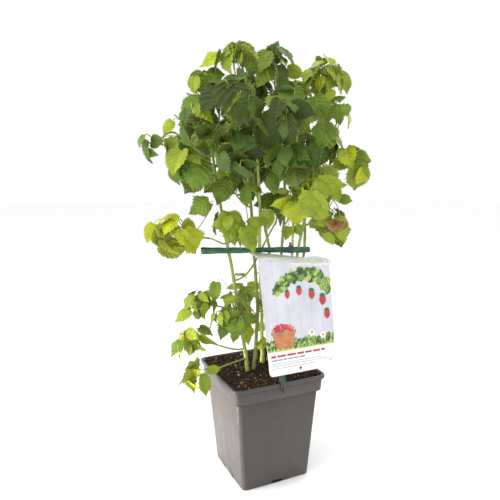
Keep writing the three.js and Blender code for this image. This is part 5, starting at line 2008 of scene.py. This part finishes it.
def wall_print_finish():
    """The printed wall of painted boards: pale lilac grey with soft upright lines."""
    mix = Finish("print_wall", 0.28, 0.5, coat_weight=0.3, coat_roughness=0.1)
    body = mix.mottled(60, 3, "#c2c3cf", "#d6d7df", vector=mix.stretched(1, 1, 0.02))
    seams = mix.node("TexWave", {"Vector": mix.spot, "Scale": 14.0, "Distortion": 0.4}, bands_direction="X")
    body = mix.blend(mix.ramp(seams.outputs["Fac"], (0.0, 0.35), (0.06, 0.0)), body, "#a9abb8")
    body = mix.blend(mix.ramp(mix.grain(14, 2), (0.4, 0.0), (0.7, 0.5)), body, "#e6e7ec")
    rough = mix.ramp(mix.grain(60, 3), (0.3, 0.22), (0.7, 0.36))
    return mix.put(base_color=body, roughness=rough, normal=mix.relief(mix.grain(45, 2), 0.0004, 0.3))


def clear_flap_finish(name):
    """The unprinted top of the card: milky plastic, streaked where it was creased."""
    mix = Finish(name, 0.22, 0.6, transmission_weight=0.1)
    streaks = mix.grain(120, 4, mix.stretched(0.15, 1, 1))
    body = mix.blend(mix.ramp(streaks, (0.35, 0.0), (0.7, 1.0)), "#dfe4da", "#fbfcf9")
    rough = mix.ramp(streaks, (0.3, 0.18), (0.7, 0.4))
    return mix.put(base_color=body, roughness=rough, normal=mix.relief(streaks, 0.0005, 0.4))


INKS = {
    "white": "#f3f2ef",
    "green": "#6f9a45",
    "pale_green": "#b3c465",
    "dark_green": "#456b3a",
    "deep_green": "#2f4f2c",
    "red": "#c02f33",
    "light_red": "#e37a74",
    "clay": "#d2723a",
    "wood": "#b08a68",
    "grey": "#a9adb8",
    "slate": "#7f8899",
}
INK_STEP = 0.07
WORDS_LEFT = -61
PRINT_SIDE = 66.5


class Prints(Joined):
    """Shapes printed on the card, each a hair above the card's face."""

    def shape(self, outline, ink, level=1):
        """A shape that its own middle can see all round, as a flat closed prism."""
        outline = np.array(outline, float)
        x, y = outline[:, 0], outline[:, 1]
        area = (x * np.roll(y, -1) - np.roll(x, -1) * y).sum()
        if area < 0:
            outline = outline[::-1]
        middle = outline.mean(0)
        count = len(outline)
        high = CARD_THICK / 2 + level * INK_STEP
        low = CARD_THICK / 2 - 0.05
        ring = np.arange(count)
        onward = (ring + 1) % count
        spots = np.concatenate([outline, [middle], outline, [middle]])
        outs = np.concatenate([np.full(count + 1, high), np.full(count + 1, low)])
        places = card_places(spots[:, 0], spots[:, 1], outs)
        under = ring + count + 1
        walls = np.stack([onward, ring, under, onward + count + 1], axis=-1)
        faces = np.concatenate([fan(count, ring), fan(2 * count + 1, under, turned=True)])
        self.add(places, walls, faces, ink, ink)

    def bar(self, left, foot, right, top, ink, level=1):
        """A rectangle, laid in short lengths so that it follows the card."""
        lengths = max(1, int((right - left) / 12))
        for i in range(lengths):
            a = left + (right - left) * i / lengths
            b = left + (right - left) * (i + 1) / lengths
            self.shape([(a, foot), (b, foot), (b, top), (a, top)], ink, level)

    def disc(self, x, y, radius, ink, level=1, corners=16):
        turn = np.arange(corners) * 2 * pi / corners
        self.shape(np.stack([x + radius * np.cos(turn), y + radius * np.sin(turn)], axis=-1), ink, level)

    def leaf(self, x, y, length, angle, ink, level=1):
        share = np.linspace(0, 1, 8)
        half = 0.3 * length * np.sin(pi * share) ** 0.8
        along = np.concatenate([share, share[::-1][1:-1]]) * length
        across = np.concatenate([half, -half[::-1][1:-1]])
        cos, sin = math.cos(angle), math.sin(angle)
        self.shape(
            np.stack([x + along * cos - across * sin, y + along * sin + across * cos], axis=-1), ink, level
        )


def dress_prints():
    """A generic garden picture, with plain bars where a label has its words."""
    prints = Prints()
    finishes = [print_finish("ink_" + name, tone, 0.1) for name, tone in INKS.items()]
    chance = default_rng(31)
    white, green, pale, dark, deep, red, light_red, clay, wood, grey, slate = range(len(INKS))
    # a strip of lawn with tufts of grass
    prints.bar(-PRINT_SIDE, PICTURE_FOOT, PRINT_SIDE, PICTURE_FOOT + 13, pale)
    prints.bar(-PRINT_SIDE, PICTURE_FOOT + 13, PRINT_SIDE, PICTURE_FOOT + 17, slate)
    for _ in range(300):
        x, y = chance.uniform(-64, 64), PICTURE_FOOT + chance.uniform(1, 14)
        ink = (green, pale, dark, deep)[chance.integers(4)]
        length, lean = chance.uniform(4, 9), chance.normal(pi / 2, 0.35)
        prints.leaf(x, y, length, lean, ink, int(chance.integers(2, 5)))
    # a basket heaped with berries
    prints.shape([(-49, 46), (-17, 46), (-11, 72), (-55, 72)], clay, 5)
    for row in range(4):
        half = 17.5 + 1.4 * row
        prints.bar(-33 - half, 49 + 6 * row, -33 + half, 51.4 + 6 * row, wood, 6)
    prints.bar(-57, 70, -9, 75, wood, 7)
    for _ in range(70):
        turn, out = chance.uniform(0, pi), sqrt(chance.uniform())
        x, y = -33 + 20 * out * math.cos(turn), 75 + 12 * out * math.sin(turn)
        ink = (red, light_red, red)[chance.integers(3)]
        prints.disc(x, y, 2.3, ink, int(chance.integers(8, 12)), 10)
    # a bough of the bush that reaches in from the upper right, with its berries
    for k in range(40):
        share = k / 39
        x, y = 64 - 104 * share, 128 + 46 * math.sin(2.2 * share + 0.4) - 6 * share
        prints.disc(x, y, 1.5, wood, 3, 8)
        for _ in range(7):
            ink = (green, pale, dark, green, deep)[chance.integers(5)]
            lean = chance.uniform(0, 2 * pi)
            reach = chance.uniform(7, 20) * (1 - 0.4 * share)
            if abs(x + reach * math.cos(lean)) < 65 and y + reach * math.sin(lean) < 186:
                prints.leaf(x, y, reach, lean, ink, int(chance.integers(4, 9)))
    for x, y, size in ((48, 122, 10), (27, 134, 9), (3, 142, 8), (55, 96, 9), (-20, 138, 7)):
        berry(prints, x, y, size, red, light_red, dark)
    # two white flowers over the lawn
    for x, y in ((22, 66), (44, 59)):
        prints.bar(x - 0.6, PICTURE_FOOT + 6, x + 0.6, y, green, 5)
        for k in range(6):
            turn = k * pi / 3
            prints.disc(x + 4.2 * math.cos(turn), y + 4.2 * math.sin(turn), 2.8, white, 6, 10)
        prints.disc(x, y, 2.2, clay, 7, 10)
    # the words' places
    word_row(prints, chance, WORDS_LEFT, 46, 31.4, 3.4, red)
    word_row(prints, chance, WORDS_LEFT, 6, 25.6, 2.1, slate)
    for y, right in ((20.5, 38), (16.5, 50), (12.0, 24)):
        word_row(prints, chance, WORDS_LEFT, right, y, 1.1, grey)
    prints.disc(56, 13, 2.6, grey)
    prints.disc(56, 13, 1.5, white, 2)
    dress(prints.piece("label_print", finishes, on_plant=False, angle=30))


def word_row(prints, chance, left, right, foot, high, ink):
    """A line of plain blocks, as long as words are."""
    while left < right - high:
        wide = min(high * chance.uniform(2.2, 5.5), right - left)
        prints.bar(left, foot, left + wide, foot + high, ink)
        left += wide + high * 0.7


def berry(prints, x, y, size, red, light, green):
    """A berry of many round drupelets under a small star of sepals."""
    for row in range(7):
        level = row / 6
        half = 0.62 * size * sqrt(max(0.06, 1 - (1.7 * level - 0.7) ** 2))
        drop = y + size * (0.55 - 1.4 * level)
        count = max(1, round(half / 1.3))
        for k in range(count):
            spot = x + (k - (count - 1) / 2) * 2 * half / count
            prints.disc(spot, drop, 1.7, red, 12 + (row + k) % 2, 10)
            prints.disc(spot - 0.4, drop + 0.5, 0.55, light, 15, 6)
    for k in range(5):
        prints.leaf(x, y + size * 0.6, size * 0.6, pi * (0.1 + 0.2 * k), green, 16)


FILM_LEFT = -12
FILM_RIGHT = 73
FILM_HANG = 7
FILM_RISE = 15
FILM_BULGE = 6
FILM_BACK = 13
FILM_THICK = 0.3


def dress_film():
    """The card's clear top, folded over the band's side and crumpled, as a bulging film."""
    deselect_all()
    bpy.ops.mesh.primitive_grid_add(x_subdivisions=70, y_subdivisions=22, size=1)
    piece = start_piece("label_film")
    for vertex in piece.data.vertices:
        share, rise = vertex.co.x + 0.5, vertex.co.y + 0.5
        across = FILM_LEFT + (FILM_RIGHT - FILM_LEFT) * share
        lens = math.sin(pi * share) ** 0.6 if 0 < share < 1 else 0.0
        tall = lens * (0.35 + 0.65 * share)
        fold = CARD_FOLD_START + CARD_FOLD_SKEW * across / CARD_WIDTH
        x, y, z = card_places(np.array([across]), np.array([fold]), np.array([1.0]))[0]
        wrinkle = noise.fractal(Vector((across * 0.16, rise * 2.2, 0.4)), 1.0, 2.0, 4)
        y -= FILM_BULGE * lens * math.sin(pi * min(1, 1.3 * rise)) + 0.9 * wrinkle * lens
        y += FILM_BACK * tall * rise * rise
        z += rise * FILM_RISE * tall - (1 - rise) * FILM_HANG * lens + 0.8 * wrinkle * lens
        vertex.co = Vector((x, y, z)) * MM
    alone(piece)
    backing = piece.modifiers.new("wall", "SOLIDIFY")
    backing.thickness = FILM_THICK * MM
    bpy.ops.object.modifier_apply(modifier="wall")
    dress(piece, finish=clear_flap_finish("film_clear"))


# ---- the clips ----


def dress_clip(name, node, rounding, slim=1.0):
    """A moulded clip: its construction shape, slimmed about its own middle, with its edges rounded."""
    piece = new_object(name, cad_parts[node].data.copy())
    piece.data.materials.clear()
    alone(piece)
    edit_mode()
    bpy.ops.mesh.select_all(action="SELECT")
    bpy.ops.mesh.remove_doubles(threshold=0.00001)
    bpy.ops.mesh.dissolve_limited(angle_limit=radians(1))
    low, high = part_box(node)
    middle = ((low[0] + high[0]) / 2, (low[1] + high[1]) / 2, high[2])
    bpy.ops.transform.resize(value=(slim, 1, 1), center_override=middle)
    object_mode()
    soften(piece, rounding, 3, 25)
    dress(piece, [node], clip_finish(), 35)


# ---- light, floor and camera ----

# The camera stands in front and a little left of the fan, looking slightly down.
CAMERA_BEARING = radians(-24.4)
CAMERA_PITCH = radians(8.8)
CAMERA_ROLL = radians(-0.51)
CAMERA_PLACE = (-17.6, -917.0, 563.2)
CAMERA_LENS = 36.65
SENSOR_WIDTH = 36.0


def set_camera():
    data = bpy.data.cameras.new("camera")
    data.lens = CAMERA_LENS
    data.sensor_width = SENSOR_WIDTH
    camera = new_object("camera", data)
    look = Matrix.Rotation(pi / 2 - CAMERA_PITCH, 4, "X")
    roll = Matrix.Rotation(CAMERA_ROLL, 4, "Z")
    place = Matrix.Translation(Vector(CAMERA_PLACE) * MM)
    camera.matrix_world = Matrix.Rotation(CAMERA_BEARING, 4, "Z") @ place @ look @ roll
    bpy.context.scene.camera = camera


def soft_box(name, bearing, height, distance, size, power, tint=(1, 1, 1), aim=0.42, spread=180):
    """A square studio light that faces the plant at a chosen height."""
    data = bpy.data.lights.new(name, "AREA")
    data.size = size
    data.energy = power
    data.color = tint
    data.spread = radians(spread)
    lamp = new_object(name, data)
    angle = radians(bearing)
    place = Vector((math.sin(angle) * distance, -math.cos(angle) * distance, height))
    lamp.location = place
    lamp.rotation_euler = (Vector((0, 0, aim)) - place).to_track_quat("-Z", "Y").to_euler()


def set_studio():
    deselect_all()
    bpy.ops.mesh.primitive_circle_add(vertices=96, radius=9, fill_type="NGON")
    floor = start_piece("studio_floor")
    finish = Finish("floor_paper", 0.9, 0.1)
    shade = finish.ramp(finish.grain(3, 2), (0.3, 0.965), (0.7, 0.985))
    floor.data.materials.append(finish.put(base_color=shade))
    world = bpy.data.worlds.new("studio")
    world.use_nodes = True
    sky = world.node_tree.nodes["Background"]
    sky.inputs["Color"].default_value = (1, 1, 1, 1)
    sky.inputs["Strength"].default_value = 1.0
    bpy.context.scene.world = world
    bpy.context.scene.view_settings.view_transform = "Standard"
    soft_box("key_light", -98, 1.0, 2.0, 1.8, 30, (1.0, 0.97, 0.94))
    soft_box("pot_light", -100, 0.12, 1.3, 0.24, 0.8, (1.0, 0.96, 0.92), aim=0.08, spread=18)
    soft_box("top_light", -20, 2.5, 0.4, 1.6, 18)
    soft_box("back_light", 115, 1.6, 2.1, 1.4, 14)


# ---- the whole ----

grow_plant()
dress_leaves()
dress_stalks()
dress_limbs()
dress_bristles()
dress_pot()
dress_soil()
dress_bark_chips()
dress_band()
dress_knot()
dress_card()
dress_prints()
dress_film()
dress_clip("card_peg", "card_clip", 0.5)
dress_clip("rim_fork", "rim_clip", 0.45, 0.62)
set_studio()
set_camera()
